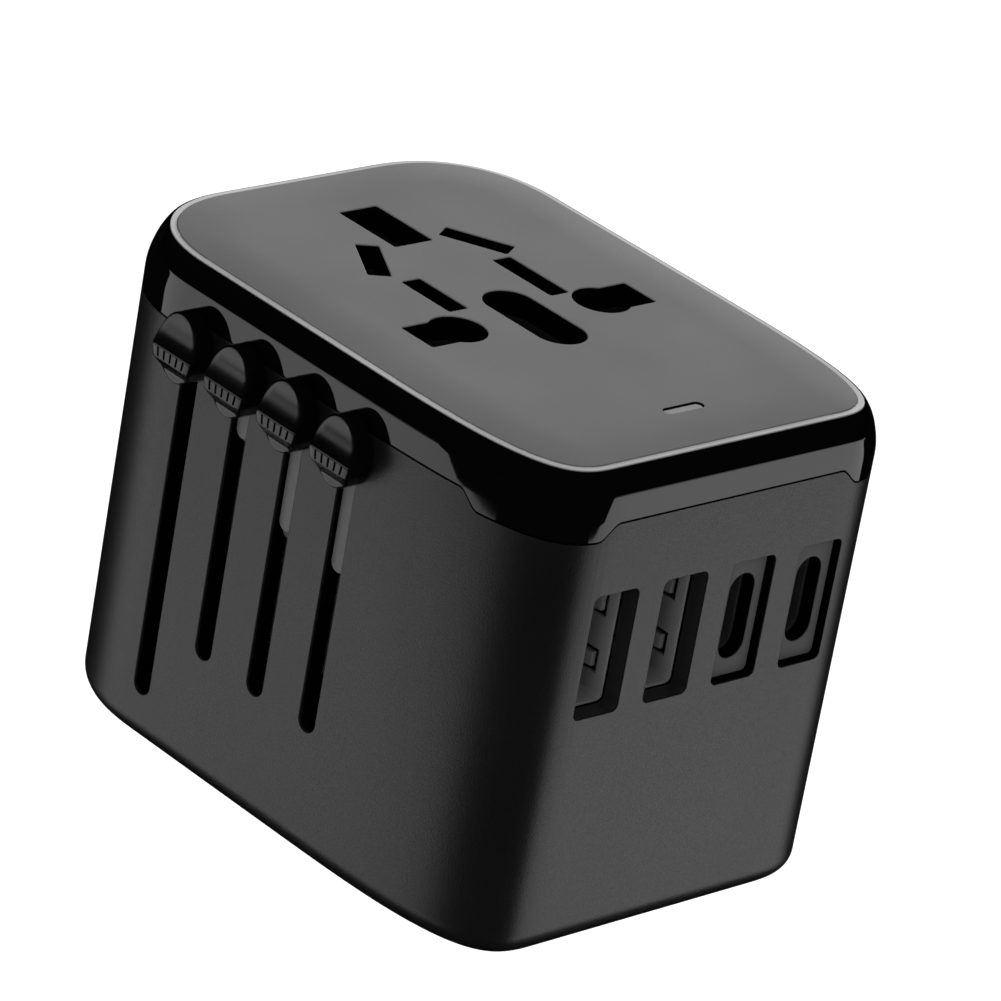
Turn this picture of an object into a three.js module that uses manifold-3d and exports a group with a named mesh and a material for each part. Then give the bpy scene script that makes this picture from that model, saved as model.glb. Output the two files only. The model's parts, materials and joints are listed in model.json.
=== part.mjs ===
// Universal travel adapter, built from its separate mouldings, contacts, sliders and pins.
//
// Millimetres, +Z up. +X points to the end with the USB sockets, -Y is the face with the four
// sliders, and the adapter stands on the face that its plug pins come out of. Inside the file the
// body is centred on X and Y; the outer group moves it so that the whole part, knobs included,
// is centred over the origin. Every slider is modelled at the top of its slot, pins retracted.

import * as THREE from 'three';
import { mergeVertices } from 'three/addons/utils/BufferGeometryUtils.js';
import Module from 'manifold-3d';

const wasm = await Module();
wasm.setup();

// ---- Driving dimensions ----------------------------------------------------------------------

const HEIGHT = 52.7;
const GAP = 0.3;                       // clearance between two pieces that meet
const WALL = 2.0;                      // casing wall
const FLOOR = 1.8;                     // casing floor

// Outline of the socket plate's rim: each corner is a quarter of a superellipse.
const RIM_HALF_LENGTH = 32.6;
const RIM_HALF_WIDTH = 23.2;
const USB_CORNER = { along: 30.6, across: 9.3, power: 3.6 };
const FAR_CORNER = { along: 13.5, across: 13.2, power: 2.3 };
const CORNER_STEPS = 7;

const BODY_OFFSET = 1.7;               // the body stands this far outside the rim
const BODY_X = RIM_HALF_LENGTH + BODY_OFFSET;
const BODY_Y = RIM_HALF_WIDTH + BODY_OFFSET;
const BASE_FILLET = 3.1;

const PLATE_THICKNESS = 2.4;
const PLATE_BEVEL = 0.5;
const COLLAR_FILLET = { depth: 2.2, run: 1.5, top: HEIGHT - 0.15 };
const PARTING_SIDE = HEIGHT - 5.65;    // casing height along the flat sides
const PARTING_CORNER = HEIGHT - 7.35;  // and at the four corners
const CORNER_STEP_X = 22.0;            // where the parting line starts to step down
const CORNER_STEP_Y = 14.6;
const CORNER_STEP_RUN = 2.0;

const DECK_TOP = HEIGHT - PLATE_THICKNESS - GAP;
const DECK_THICKNESS = 2.5;
const DECK_BOTTOM = DECK_TOP - DECK_THICKNESS;

// Socket: the standard pin spacings that every plug type needs.
const LINE_X = 3.2;                    // line and neutral holes lie on this line
const EARTH_X = LINE_X - 22.23;
const EURO_HALF_SPACING = 9.5;
const US_HALF_SPACING = 6.35;
const AU_HALF_SPACING = 6.85;
const AU_TILT = THREE.MathUtils.degToRad(30);
const SOCKET_OUTER_Y = 14.8;
const LED = { x: LINE_X + 22.5, width: 1.3, length: 5.0 };

// Sliders, from the far end to the USB end.
const SLIDER_PITCH = 8.15;
const FIRST_SLIDER_X = -16.95;
const SLOT_WIDTH = 2.25;
const KNOB_Z = HEIGHT - 8.1;
const KNOB = { width: 6.2, height: 7.5, base: 1.75, ridge: 2.95 };
const SLOT_BOTTOM = { eu: 5.9, uk: 13.8, us: 13.8, au: 13.8 };
const TRAVEL = { eu: 36.5, uk: 23.7, us: 17.0, au: 16.9 };
const STEM = { width: 1.7, height: 3.2, z: KNOB_Z + 0.5 };
const ARM = { width: 4.8, front: -22.6, back: -20.4, top: KNOB_Z + 2.0 };
const STRIP = { width: 1.85, front: -BODY_Y + 1.1, clearance: 0.15 };

// A carrier's platform stops just above the floor when its slider is right down.
const PLATFORM_THICKNESS = 2.5;
const EU_CARRIER_BOTTOM = 42.0;

// Plug pins in the base. reach is how far a pin's tip stands out of its face when it is out.
const EU_PIN = { x: -24.0, radius: 2.0, reach: 19.0, sleeveRadius: 1.9, bare: 9.3 };
const UK_PIN = { x: -11.4, halfSpacing: 11.1, along: 4.0, across: 6.35, reach: 17.7 };
const UK_EARTH = { x: UK_PIN.x + 22.3, along: 8.0, across: 4.0, reach: 22.7 };
const US_PIN = { x: -5.9, along: 6.3, thickness: 1.5, reach: 16.2 };
const AU_PIN = { x: 7.4, along: 6.35, thickness: 1.6, reach: 16.1 };
const ISLAND = { x: EU_PIN.x, halfWidth: 6.7, halfLength: 17.2, height: 21.5, travel: 16.5 };
const EU_TIP = TRAVEL.eu - ISLAND.travel - EU_PIN.reach;

const FUSE = { x: 0.5, bottom: 3.0, radius: 2.5, length: 20, holderRadius: 4.3 };
const FUSE_CAP = { radius: 4.75, bossRadius: 3.6 };
const DIMPLE = { x: -26.0, y: -19.6, radius: 1.2, depth: 0.5 };
const DRAWER = { x: [-6.6, 18.6], y: 17.0, height: 7.4, railY: 14.9 };

// USB sockets.
const PORT = { pitch: 9.05, centreY: 0.3, width: 5.7, height: 13.2, z: HEIGHT - 19.8, corner: 0.6 };
const SOCKET_MOUTH_X = 32.0;
const BOARD = { x: [17.2, 18.8], halfWidth: 19.5, z: [8.0, 45.5] };
const DECK_POSTS = [[-27.0, -16.9], [-27.0, 16.9], [13.5, -18.6], [13.5, 18.6]];
const POST = { radius: 2.2, bottom: 22.6, rib: 2.0 };

// ---- Materials -------------------------------------------------------------------------------

function finish(color, roughness, metalness = 0) {
  return new THREE.MeshStandardMaterial({ color, roughness, metalness });
}

const MATTE_BLACK = finish(0x2b2b2b, 0.6);
const PLATE_GREY = finish(0x4a4a4a, 0.55);
const GLOSS_BLACK = finish(0x0b0b0b, 0.12);
const KNOB_BLACK = finish(0x1d1d1d, 0.4);
const INNER_BLACK = finish(0x191919, 0.7);
const BRASS = finish(0xb58a3c, 0.35, 1);
const NICKEL = finish(0xc8c8c8, 0.25, 1);
const STEEL = finish(0x8f9296, 0.35, 1);
const BOARD_GREEN = finish(0x1f5a36, 0.6);
const FERRITE = finish(0x2d2d30, 0.8);
const CAPACITOR_SLEEVE = finish(0x20264a, 0.5);
const CERAMIC = finish(0xe6e2d8, 0.5);
const LIGHT_PIPE = finish(0xcfd2d4, 0.3);

// ---- Geometry helpers ------------------------------------------------------------------------

function solidOf(geometry) {
  geometry.deleteAttribute('normal');
  geometry.deleteAttribute('uv');
  const merged = mergeVertices(geometry, 1e-4);
  const vertProperties = new Float32Array(merged.attributes.position.array);
  const triVerts = new Uint32Array(merged.index.array);
  return new wasm.Manifold(new wasm.Mesh({ numProp: 3, vertProperties, triVerts }));
}

function geometryOf(solid) {
  const mesh = solid.getMesh();
  const geometry = new THREE.BufferGeometry();
  geometry.setAttribute('position', new THREE.BufferAttribute(mesh.vertProperties, 3));
  geometry.setIndex(new THREE.BufferAttribute(mesh.triVerts, 1));
  geometry.computeVertexNormals();
  return geometry;
}

function join(...solids) {
  return solids.reduce((whole, solid) => whole.add(solid));
}

function cut(solid, ...tools) {
  return tools.reduce((rest, tool) => rest.subtract(tool), solid);
}

// Directions of a shape's first axis, its second axis and the extrusion.
const DIRECTIONS = {
  x: [[0, 1, 0], [0, 0, 1], [1, 0, 0]],
  y: [[1, 0, 0], [0, 0, 1], [0, -1, 0]],
  z: [[1, 0, 0], [0, 1, 0], [0, 0, 1]],
};

// Extrude a shape between two places on an axis. On x the shape is drawn in (y, z), on y in
// (x, z) and on z in (x, y).
function prism(shape, axis, [low, high], segments = 6) {
  const settings = { depth: high - low, bevelEnabled: false, curveSegments: segments };
  const geometry = new THREE.ExtrudeGeometry(shape, settings);
  const [first, second, third] = DIRECTIONS[axis].map((v) => new THREE.Vector3(...v));
  const placing = new THREE.Matrix4().makeBasis(first, second, third);
  const start = third.clone().multiplyScalar(axis === 'y' ? -high : low);
  geometry.applyMatrix4(placing.setPosition(start));
  return solidOf(geometry);
}

function box([x0, x1], [y0, y1], [z0, z1]) {
  const geometry = new THREE.BoxGeometry(x1 - x0, y1 - y0, z1 - z0);
  geometry.translate((x0 + x1) / 2, (y0 + y1) / 2, (z0 + z1) / 2);
  return solidOf(geometry);
}

function polygon(points) {
  return new THREE.Shape(points.map(([u, v]) => new THREE.Vector2(u, v)));
}

function roundedRectangle(u, v, width, height, radius) {
  const shape = new THREE.Shape();
  const right = u + width / 2 - radius;
  const left = u - width / 2 + radius;
  const top = v + height / 2 - radius;
  const bottom = v - height / 2 + radius;
  shape.absarc(right, top, radius, 0, Math.PI / 2);
  shape.absarc(left, top, radius, Math.PI / 2, Math.PI);
  shape.absarc(left, bottom, radius, Math.PI, 1.5 * Math.PI);
  shape.absarc(right, bottom, radius, 1.5 * Math.PI, 2 * Math.PI);
  return shape;
}

function obround(u, v, width, height) {
  return roundedRectangle(u, v, width, height, 0.49 * Math.min(width, height));
}

function disc(u, v, radius) {
  return new THREE.Shape().absarc(u, v, radius, 0, 2 * Math.PI);
}

function around(centre, size) {
  return [centre - size / 2, centre + size / 2];
}

// Outline of the body at a distance outside the plate's rim, anticlockwise.
function outline(offset) {
  const points = [];
  const quarter = (corner, sideX, sideY, forwards) => {
    for (let step = 0; step <= CORNER_STEPS; step += 1) {
      const part = (forwards ? step : CORNER_STEPS - step) / CORNER_STEPS;
      const angle = part * Math.PI / 2;
      const along = (corner.along + offset) * Math.cos(angle) ** (2 / corner.power);
      const across = (corner.across + offset) * Math.sin(angle) ** (2 / corner.power);
      const x = RIM_HALF_LENGTH - corner.along + along;
      const y = RIM_HALF_WIDTH - corner.across + across;
      points.push([sideX * x, sideY * y]);
    }
  };
  quarter(USB_CORNER, 1, 1, true);
  quarter(FAR_CORNER, -1, 1, false);
  quarter(FAR_CORNER, -1, -1, true);
  quarter(USB_CORNER, 1, -1, false);
  return points;
}

// Closed solid through a stack of body outlines, each given as [z, offset].
function loft(layers) {
  const positions = [];
  const indices = [];
  const count = outline(0).length;
  for (const [z, offset] of layers) {
    for (const [x, y] of outline(offset)) positions.push(x, y, z);
  }
  for (let layer = 0; layer + 1 < layers.length; layer += 1) {
    for (let i = 0; i < count; i += 1) {
      const a = layer * count + i;
      const b = layer * count + (i + 1) % count;
      indices.push(a, b, b + count, a, b + count, a + count);
    }
  }
  const top = (layers.length - 1) * count;
  for (let i = 1; i + 1 < count; i += 1) {
    indices.push(0, i + 1, i);
    indices.push(top, top + i, top + i + 1);
  }
  const geometry = new THREE.BufferGeometry();
  geometry.setAttribute('position', new THREE.Float32BufferAttribute(positions, 3));
  geometry.setIndex(indices);
  return solidOf(geometry);
}

// ---- Housing ---------------------------------------------------------------------------------

// Body skin up to the parting line, with the rounded edge at the base.
function bodySkin(top) {
  const layers = [];
  const steps = 4;
  for (let step = 0; step <= steps; step += 1) {
    const angle = (step / steps) * Math.PI / 2;
    const z = BASE_FILLET * (1 - Math.cos(angle));
    layers.push([z, BODY_OFFSET - BASE_FILLET * (1 - Math.sin(angle))]);
  }
  layers.push([top, BODY_OFFSET]);
  return loft(layers);
}

// The space above the stepped parting line at the four corners.
function cornerZone(lift) {
  const low = PARTING_CORNER + lift;
  const high = PARTING_SIDE + lift;
  const reach = 60;
  const step = (start) => [
    [start, high], [start + CORNER_STEP_RUN, low], [reach, low], [reach, HEIGHT], [start, HEIGHT],
  ];
  const mirrored = (points) => points.map(([u, v]) => [-u, v]).reverse();
  const pair = (start, axis) => {
    const points = step(start);
    const right = prism(polygon(points), axis, [-reach, reach]);
    return right.add(prism(polygon(mirrored(points)), axis, [-reach, reach]));
  };
  return pair(CORNER_STEP_X, 'y').intersect(pair(CORNER_STEP_Y, 'x'));
}

const sliderX = (index) => FIRST_SLIDER_X + index * SLIDER_PITCH;
const portY = (index) => PORT.centreY + (index - 1.5) * PORT.pitch;

// The slots run out at the casing's top edge, so that the carriers drop in from above.
function sliderSlots() {
  const slots = Object.values(SLOT_BOTTOM).map((bottom, index) => {
    const top = HEIGHT;
    const shape = obround(sliderX(index), (bottom + top) / 2, SLOT_WIDTH, top - bottom);
    return prism(shape, 'y', [-BODY_Y - 1, ARM.front + 0.5], 5);
  });
  return join(...slots);
}

function portOpenings() {
  const ports = [0, 1, 2, 3].map((index) => {
    const shape = roundedRectangle(portY(index), PORT.z, PORT.width, PORT.height, PORT.corner);
    return prism(shape, 'x', [SOCKET_MOUTH_X - 1, BODY_X + 1], 3);
  });
  return join(...ports);
}

function auBladeShape(side, along, thickness) {
  const turn = side * AU_TILT;
  const corners = [[-1, -1], [1, -1], [1, 1], [-1, 1]].map(([i, j]) => {
    const u = i * along / 2;
    const v = j * thickness / 2;
    return [u * Math.cos(turn) - v * Math.sin(turn), u * Math.sin(turn) + v * Math.cos(turn)];
  });
  return (x, y) => polygon(corners.map(([u, v]) => [x + u, y + v]));
}

function islandShape(grow) {
  const wide = ISLAND.halfWidth + grow;
  const long = ISLAND.halfLength + grow;
  const tipWidth = 2.2 + 0.5 * grow;
  const shoulder = 12.0 + 0.5 * grow;
  return polygon([
    [ISLAND.x + wide, -shoulder], [ISLAND.x + wide, shoulder], [ISLAND.x + tipWidth, long],
    [ISLAND.x - tipWidth, long], [ISLAND.x - wide, shoulder], [ISLAND.x - wide, -shoulder],
    [ISLAND.x - tipWidth, -long], [ISLAND.x + tipWidth, -long],
  ]);
}

function baseHoles() {
  const through = [-1, FLOOR + 1];
  const holes = [prism(islandShape(GAP), 'z', through)];
  holes.push(prism(disc(DIMPLE.x, DIMPLE.y, DIMPLE.radius), 'z', [-1, DIMPLE.depth], 4));
  holes.push(prism(disc(FUSE.x, 0, FUSE_CAP.radius + GAP), 'z', through, 16));
  holes.push(box(around(UK_EARTH.x, UK_EARTH.along + 0.8), around(0, UK_EARTH.across + 0.8), through));
  for (const side of [-1, 1]) {
    const ukY = side * UK_PIN.halfSpacing;
    holes.push(box(around(UK_PIN.x, UK_PIN.along + 0.8), around(ukY, UK_PIN.across + 0.8), through));
    const usY = side * US_HALF_SPACING;
    holes.push(box(around(US_PIN.x, US_PIN.along + 0.6), around(usY, US_PIN.thickness + 0.7), through));
    const au = auBladeShape(side, AU_PIN.along + 0.7, AU_PIN.thickness + 0.7);
    holes.push(prism(au(AU_PIN.x, side * AU_HALF_SPACING), 'z', through));
  }
  return join(...holes);
}

function drawerSpace(grow) {
  const [x0, x1] = DRAWER.x;
  const x = [x0 - grow, x1 + grow];
  return box(x, [DRAWER.y - grow, BODY_Y + 1], [-1, DRAWER.height + grow]);
}

function boardRails() {
  const rails = [];
  for (const side of [-1, 1]) {
    const y = side < 0 ? [-BODY_Y + 1, -BOARD.halfWidth + 1] : [BOARD.halfWidth - 1, BODY_Y - 1];
    rails.push(box([BOARD.x[0] - 1.3, BOARD.x[0] - GAP], y, [9.0, 44.0]));
    rails.push(box([BOARD.x[1] + GAP, BOARD.x[1] + 1.3], y, [9.0, 44.0]));
  }
  return rails;
}

// Screw posts, each held to the wall beside it by a rib.
function deckPosts() {
  return DECK_POSTS.map(([x, y]) => {
    const z = [POST.bottom, PARTING_CORNER];
    const rib = box(around(x, POST.rib), y < 0 ? [-BODY_Y + 1, y] : [y, BODY_Y - 1], z);
    return rib.add(prism(disc(x, y, POST.radius), 'z', z, 5));
  });
}

function mainCasing() {
  const outer = bodySkin(PARTING_SIDE);
  const hollow = loft([[FLOOR, BODY_OFFSET - WALL], [HEIGHT, BODY_OFFSET - WALL]]);
  const shell = cut(outer, hollow);
  const inside = join(...boardRails(), ...deckPosts()).intersect(bodySkin(PARTING_SIDE));
  const screwHoles = DECK_POSTS.map(([x, y]) => prism(disc(x, y, 1.2), 'z', [36.0, HEIGHT], 3));
  return cut(
    shell.add(inside),
    cornerZone(0),
    sliderSlots(),
    portOpenings(),
    baseHoles(),
    drawerSpace(GAP),
    ...screwHoles,
  );
}

function glossCollar() {
  const layers = [[PARTING_CORNER + GAP, BODY_OFFSET]];
  const filletStart = HEIGHT - COLLAR_FILLET.depth;
  const steps = 4;
  for (let step = 0; step <= steps; step += 1) {
    const angle = (step / steps) * Math.PI / 2;
    const z = filletStart + (COLLAR_FILLET.top - filletStart) * Math.sin(angle);
    layers.push([z, BODY_OFFSET - COLLAR_FILLET.run * (1 - Math.cos(angle))]);
  }
  const ledgeTop = HEIGHT - PLATE_THICKNESS - GAP;
  const seat = loft([[ledgeTop, 0.15], [HEIGHT + 1, 0.15]]);
  const throat = loft([[PARTING_CORNER - 1, -1.8], [HEIGHT + 1, -1.8]]);
  const below = box([-50, 50], [-50, 50], [0, PARTING_SIDE + GAP]);
  const lowerThroat = loft([[PARTING_CORNER - 1, -0.3], [PARTING_SIDE + GAP, -0.3]]);
  return cut(loft(layers), seat, throat, below.subtract(cornerZone(GAP)), lowerThroat);
}

// Cutter for every hole of the socket, between two heights.
function socketHoles(range) {
  const holes = [box(around(EARTH_X, 8.9), around(0, 5.0), range)];
  holes.push(prism(obround(LINE_X + 0.65, 0, 13.0, 5.6), 'z', range, 6));
  for (const side of [-1, 1]) {
    const middle = side * (EURO_HALF_SPACING + SOCKET_OUTER_Y) / 2;
    holes.push(prism(disc(LINE_X, side * EURO_HALF_SPACING, 3.0), 'z', range, 12));
    holes.push(box(around(LINE_X, 4.8), around(middle, SOCKET_OUTER_Y - EURO_HALF_SPACING), range));
    const usLength = side > 0 ? 9.0 : 7.45;
    holes.push(box(around(LINE_X - 7.2, usLength), around(side * US_HALF_SPACING, 2.45), range));
    const au = auBladeShape(side, 7.4, 2.45);
    holes.push(prism(au(LINE_X - 16.05, side * AU_HALF_SPACING), 'z', range));
  }
  return join(...holes);
}

function lightPipeShape(grow) {
  return obround(LED.x, 0, LED.width + 2 * grow, LED.length + 2 * grow);
}

function socketFacePlate() {
  const bottom = HEIGHT - PLATE_THICKNESS;
  const plate = loft([[bottom, -0.15], [HEIGHT - PLATE_BEVEL, -0.15], [HEIGHT, -0.15 - PLATE_BEVEL]]);
  const range = [bottom - 1, HEIGHT + 1];
  return cut(plate, socketHoles(range), prism(lightPipeShape(GAP), 'z', range, 4));
}

function contactDeck() {
  const deck = loft([[DECK_BOTTOM, -2.2], [DECK_TOP, -2.2]]);
  const range = [DECK_BOTTOM - 1, DECK_TOP + 1];
  const screwSeats = DECK_POSTS.map(([x, y]) => join(
    prism(disc(x, y, 1.2), 'z', range, 3),
    prism(disc(x, y, 1.75), 'z', [DECK_TOP - 1.4, DECK_TOP + 1], 4),
  ));
  return cut(deck, socketHoles(range), prism(lightPipeShape(GAP), 'z', range, 4), ...screwSeats);
}

function deckScrew([x, y]) {
  const head = prism(disc(x, y, 1.45), 'z', [DECK_TOP - 1.1, DECK_TOP - 0.1], 5);
  const shank = prism(disc(x, y, 0.8), 'z', [37.5, DECK_TOP - 1.0], 3);
  const recess = join(
    box(around(x, 1.6), around(y, 0.4), [DECK_TOP - 0.6, DECK_TOP]),
    box(around(x, 0.4), around(y, 1.6), [DECK_TOP - 0.6, DECK_TOP]),
  );
  return head.add(shank).subtract(recess);
}

// Folded strip: the outer leaf for round pins, the inner leaf for flat blades, and their web.
function mainsContact(side) {
  const leaf = 0.6;
  const z = [36.0, DECK_BOTTOM - GAP];
  const y = (near, far) => (side > 0 ? [near, far] : [-far, -near]);
  const webX = [LINE_X - 12.2, LINE_X - 12.2 + leaf];
  return join(
    box([webX[0], LINE_X + 4.8], y(15.3, 15.3 + leaf), z),
    box(webX, y(8.1, 15.3 + leaf), z),
    box([webX[0], LINE_X - 4.2], y(8.1, 8.1 + leaf), z),
  );
}

// ---- USB charger -----------------------------------------------------------------------------

function usbShell(index, [outerWidth, outerHeight], thickness, backX, mouthX) {
  const y = portY(index);
  const radius = Math.min(0.6, outerWidth / 2);
  const isRound = outerHeight > 2 * outerWidth && outerWidth < 4;
  const innerWidth = outerWidth - 2 * thickness;
  const innerHeight = outerHeight - 2 * thickness;
  const outer = isRound
    ? obround(y, PORT.z, outerWidth, outerHeight)
    : roundedRectangle(y, PORT.z, outerWidth, outerHeight, radius);
  const inner = isRound
    ? obround(y, PORT.z, innerWidth, innerHeight)
    : roundedRectangle(y, PORT.z, innerWidth, innerHeight, 0.3);
  const body = prism(outer, 'x', [backX, mouthX], 3);
  return body.subtract(prism(inner, 'x', [backX + thickness, mouthX + 1], 3));
}

function usbAShell(index) {
  return usbShell(index, [5.9, 13.3], 0.4, BOARD.x[1] + GAP, SOCKET_MOUTH_X);
}

function usbATongue(index) {
  const y = portY(index) - 2.25;
  return box([20.2, 30.8], [y, y + 1.85], around(PORT.z, 11.1));
}

function usbCBezel(index) {
  const y = portY(index);
  const plate = roundedRectangle(y, PORT.z, PORT.width - 2 * GAP, PORT.height - 2 * GAP, 0.5);
  const hole = obround(y, PORT.z, 3.4, 9.2);
  const x = [SOCKET_MOUTH_X - 0.3, BODY_X - 0.95];
  return prism(plate, 'x', x, 3).subtract(prism(hole, 'x', [x[0] - 1, x[1] + 1], 6));
}

function usbCShell(index) {
  return usbShell(index, [3.8, 9.6], 0.5, 22.0, SOCKET_MOUTH_X - 0.6);
}

function usbCTongue(index) {
  return box([22.8, 30.6], around(portY(index), 0.7), around(PORT.z, 6.6));
}

function chargerBoard() {
  return box(BOARD.x, [-BOARD.halfWidth, BOARD.halfWidth], BOARD.z);
}

function transformer() {
  const x0 = BOARD.x[1] + GAP;
  const core = box([x0, x0 + 11], [-15, -1], [9, 19.5]);
  const winding = box([x0, x0 + 10], [-12, -4], [6, 22.5]);
  return core.add(winding);
}

function capacitor(y, z, radius, length) {
  const x0 = BOARD.x[1] + GAP;
  const groove = 0.35;
  const body = prism(disc(y, z, radius), 'x', [x0, x0 + length], 8);
  const neck = prism(disc(y, z, radius + 1), 'x', [x0 + 1.4, x0 + 2.2], 8);
  const core = prism(disc(y, z, radius - groove), 'x', [x0 + 1, x0 + 2.6], 8);
  return body.subtract(neck.subtract(core));
}

// ---- Fuses -----------------------------------------------------------------------------------

function fuseHolder() {
  const z = [FUSE.bottom + 0.2, 25.0];
  const tube = prism(disc(FUSE.x, 0, FUSE.holderRadius), 'z', z, 9);
  return tube.subtract(prism(disc(FUSE.x, 0, FUSE.radius + 0.5), 'z', [z[0] - 1, z[1] - 1.2], 9));
}

function fuseCap() {
  const flange = prism(disc(FUSE.x, 0, FUSE_CAP.radius), 'z', [0, FLOOR], 16);
  const boss = prism(disc(FUSE.x, 0, FUSE_CAP.bossRadius), 'z', [FLOOR - 0.5, FUSE.bottom - GAP], 10);
  const coinSlot = box(around(FUSE.x, 12), around(0, 1.5), [-1, 1.0]);
  return flange.add(boss).subtract(coinSlot);
}

// A cartridge fuse along an axis, with its two end caps a little wider than the body.
function cartridge(axis, [u, v], [low, high]) {
  const cap = 5.0;
  return join(
    prism(disc(u, v, FUSE.radius - 0.15), axis, [low + 0.5, high - 0.5], 6),
    prism(disc(u, v, FUSE.radius), axis, [low, low + cap], 6),
    prism(disc(u, v, FUSE.radius), axis, [high - cap, high], 6),
  );
}

function spareFuseDrawer() {
  const [x0, x1] = DRAWER.x;
  const face = bodySkin(DRAWER.height).intersect(drawerSpace(0));
  const rails = [[x0, x0 + 2], [x1 - 2, x1]].map((x) => (
    box(x, [DRAWER.railY, DRAWER.y + 1], [FLOOR + GAP, DRAWER.height])
  ));
  const pocket = box([x0 + 2, x1 - 2], [DRAWER.y + 0.8, DRAWER.y + 6.4], [1.2, DRAWER.height + 1]);
  const nailNotch = box([x0 + 9.6, x1 - 9.6], [BODY_Y - 0.8, BODY_Y + 1], [-1, 3.4]);
  return cut(join(face, ...rails), pocket, nailNotch);
}

// ---- Sliders ---------------------------------------------------------------------------------

function knob(index) {
  const x = sliderX(index);
  const back = -BODY_Y - 0.25;
  const front = -BODY_Y - KNOB.ridge;
  const oval = new THREE.Shape().absellipse(x, KNOB_Z, KNOB.width / 2, KNOB.height / 2, 0, 2 * Math.PI);
  const body = prism(oval, 'y', [front, back], 10);
  const rampRadius = 4.2;
  const rampCentre = [front - 2.6, KNOB_Z + 3.3];
  const ramp = prism(disc(...rampCentre, rampRadius), 'x', [x - 5, x + 5], 10);
  const brow = box([x - 5, x + 5], [front - 1, -BODY_Y - KNOB.base], [KNOB_Z + 1.2, KNOB_Z + 6]);
  const ledge = box([x - 5, x + 5], [front - 1, front + 0.9], [KNOB_Z - 6, KNOB_Z - 2.4]);
  const chin = box([x - 5, x + 5], [front - 1, front + 1.5], [KNOB_Z - 6, KNOB_Z - 3.0]);
  const socket = box(
    around(x, STEM.width + 2 * GAP),
    [-BODY_Y - 1.25, -BODY_Y],
    around(STEM.z, STEM.height + 2 * GAP),
  );
  return cut(body, ramp, brow, ledge, chin, socket);
}

// Arm behind the slot, the stem that passes through it, and the strip in the slot whose rounded
// end stops at the slot's bottom.
function sliderArm(index, plug, bottom) {
  const x = sliderX(index);
  const stripBottom = SLOT_BOTTOM[plug] + TRAVEL[plug] + STRIP.clearance;
  const height = ARM.top - stripBottom;
  const strip = obround(x, stripBottom + height / 2, STRIP.width, height);
  return join(
    box(around(x, ARM.width), [ARM.front, ARM.back], [bottom, ARM.top]),
    box(around(x, STEM.width), [-BODY_Y - 0.95, ARM.front + 0.5], around(STEM.z, STEM.height)),
    prism(strip, 'y', [STRIP.front, ARM.front + 0.5], 4),
  );
}

const platformBottom = (plug) => TRAVEL[plug] + FLOOR + GAP;
const pinTop = (plug) => platformBottom(plug) - GAP;

function platform(plug, ...outlines) {
  const bottom = platformBottom(plug);
  return join(...outlines.map((points) => (
    prism(polygon(points), 'z', [bottom, bottom + PLATFORM_THICKNESS])
  )));
}

function rectangle([x0, x1], [y0, y1]) {
  return [[x0, y0], [x1, y0], [x1, y1], [x0, y1]];
}

function euCarrier() {
  const range = [EU_CARRIER_BOTTOM, ARM.top];
  const barX = [-30.2, -26.6];
  const link = polygon([[-25.6, -11.5], [-20.6, -22.0], [-15.0, -22.0], [-15.0, -20.4], [-21.6, -9.0]]);
  return join(
    prism(disc(EU_PIN.x, -EURO_HALF_SPACING, 3.6), 'z', range, 8),
    prism(disc(EU_PIN.x, EURO_HALF_SPACING, 3.6), 'z', range, 8),
    box(barX, [-EURO_HALF_SPACING, EURO_HALF_SPACING], range),
    box([barX[0], EU_PIN.x], around(-EURO_HALF_SPACING, 4), range),
    box([barX[0], EU_PIN.x], around(EURO_HALF_SPACING, 4), range),
    prism(link, 'z', range),
    sliderArm(0, 'eu', EU_CARRIER_BOTTOM),
  );
}

function ukCarrier() {
  const frame = platform(
    'uk',
    rectangle([-13.7, -9.2], [-14.8, -7.8]),
    rectangle([-15.0, -10.5], [-8.8, 11.0]),
    rectangle([-13.7, -9.2], [7.8, 14.6]),
    rectangle([-10.0, 15.5], [10.2, 14.6]),
    rectangle([11.6, 15.5], [0, 11.0]),
    rectangle([6.9, 15.5], [-2.3, 2.3]),
    rectangle([-11.4, -6.6], [-22.0, -14.0]),
  );
  return frame.add(sliderArm(1, 'uk', platformBottom('uk')));
}

function usCarrier() {
  const bridge = platform(
    'us',
    rectangle([-9.3, -4.6], [-7.4, 7.4]),
    rectangle([-9.3, -2.6], [-7.4, -5.3]),
    rectangle([-9.3, -2.6], [5.3, 7.4]),
    rectangle([-5.4, 0.0], [-21.0, -6.8]),
  );
  return bridge.add(sliderArm(2, 'us', platformBottom('us')));
}

function auCarrier() {
  const bridge = platform(
    'au',
    rectangle([3.7, 10.7], [-9.4, -4.3]),
    rectangle([3.7, 10.7], [4.3, 9.4]),
    rectangle([5.1, 6.6], [-5.0, 5.0]),
    rectangle([5.1, 9.9], [-21.0, -9.0]),
  );
  return bridge.add(sliderArm(3, 'au', platformBottom('au')));
}

// ---- Plug pins -------------------------------------------------------------------------------

function turned(profile, side) {
  const geometry = new THREE.LatheGeometry(profile.map(([r, z]) => new THREE.Vector2(r, z)), 24);
  geometry.rotateX(Math.PI / 2);
  geometry.translate(EU_PIN.x, side * EURO_HALF_SPACING, 0);
  return solidOf(geometry);
}

// Round pin with a domed tip; its thinner shank runs up inside the insulating sleeve.
function euPin(side) {
  const { radius, bare } = EU_PIN;
  const top = EU_CARRIER_BOTTOM - GAP;
  return turned([
    [0, EU_TIP], [radius * 0.55, EU_TIP + 0.2], [radius * 0.9, EU_TIP + 0.9], [radius, EU_TIP + 2],
    [radius, EU_TIP + bare], [1.1, EU_TIP + bare], [1.1, top], [0, top],
  ], side);
}

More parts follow.
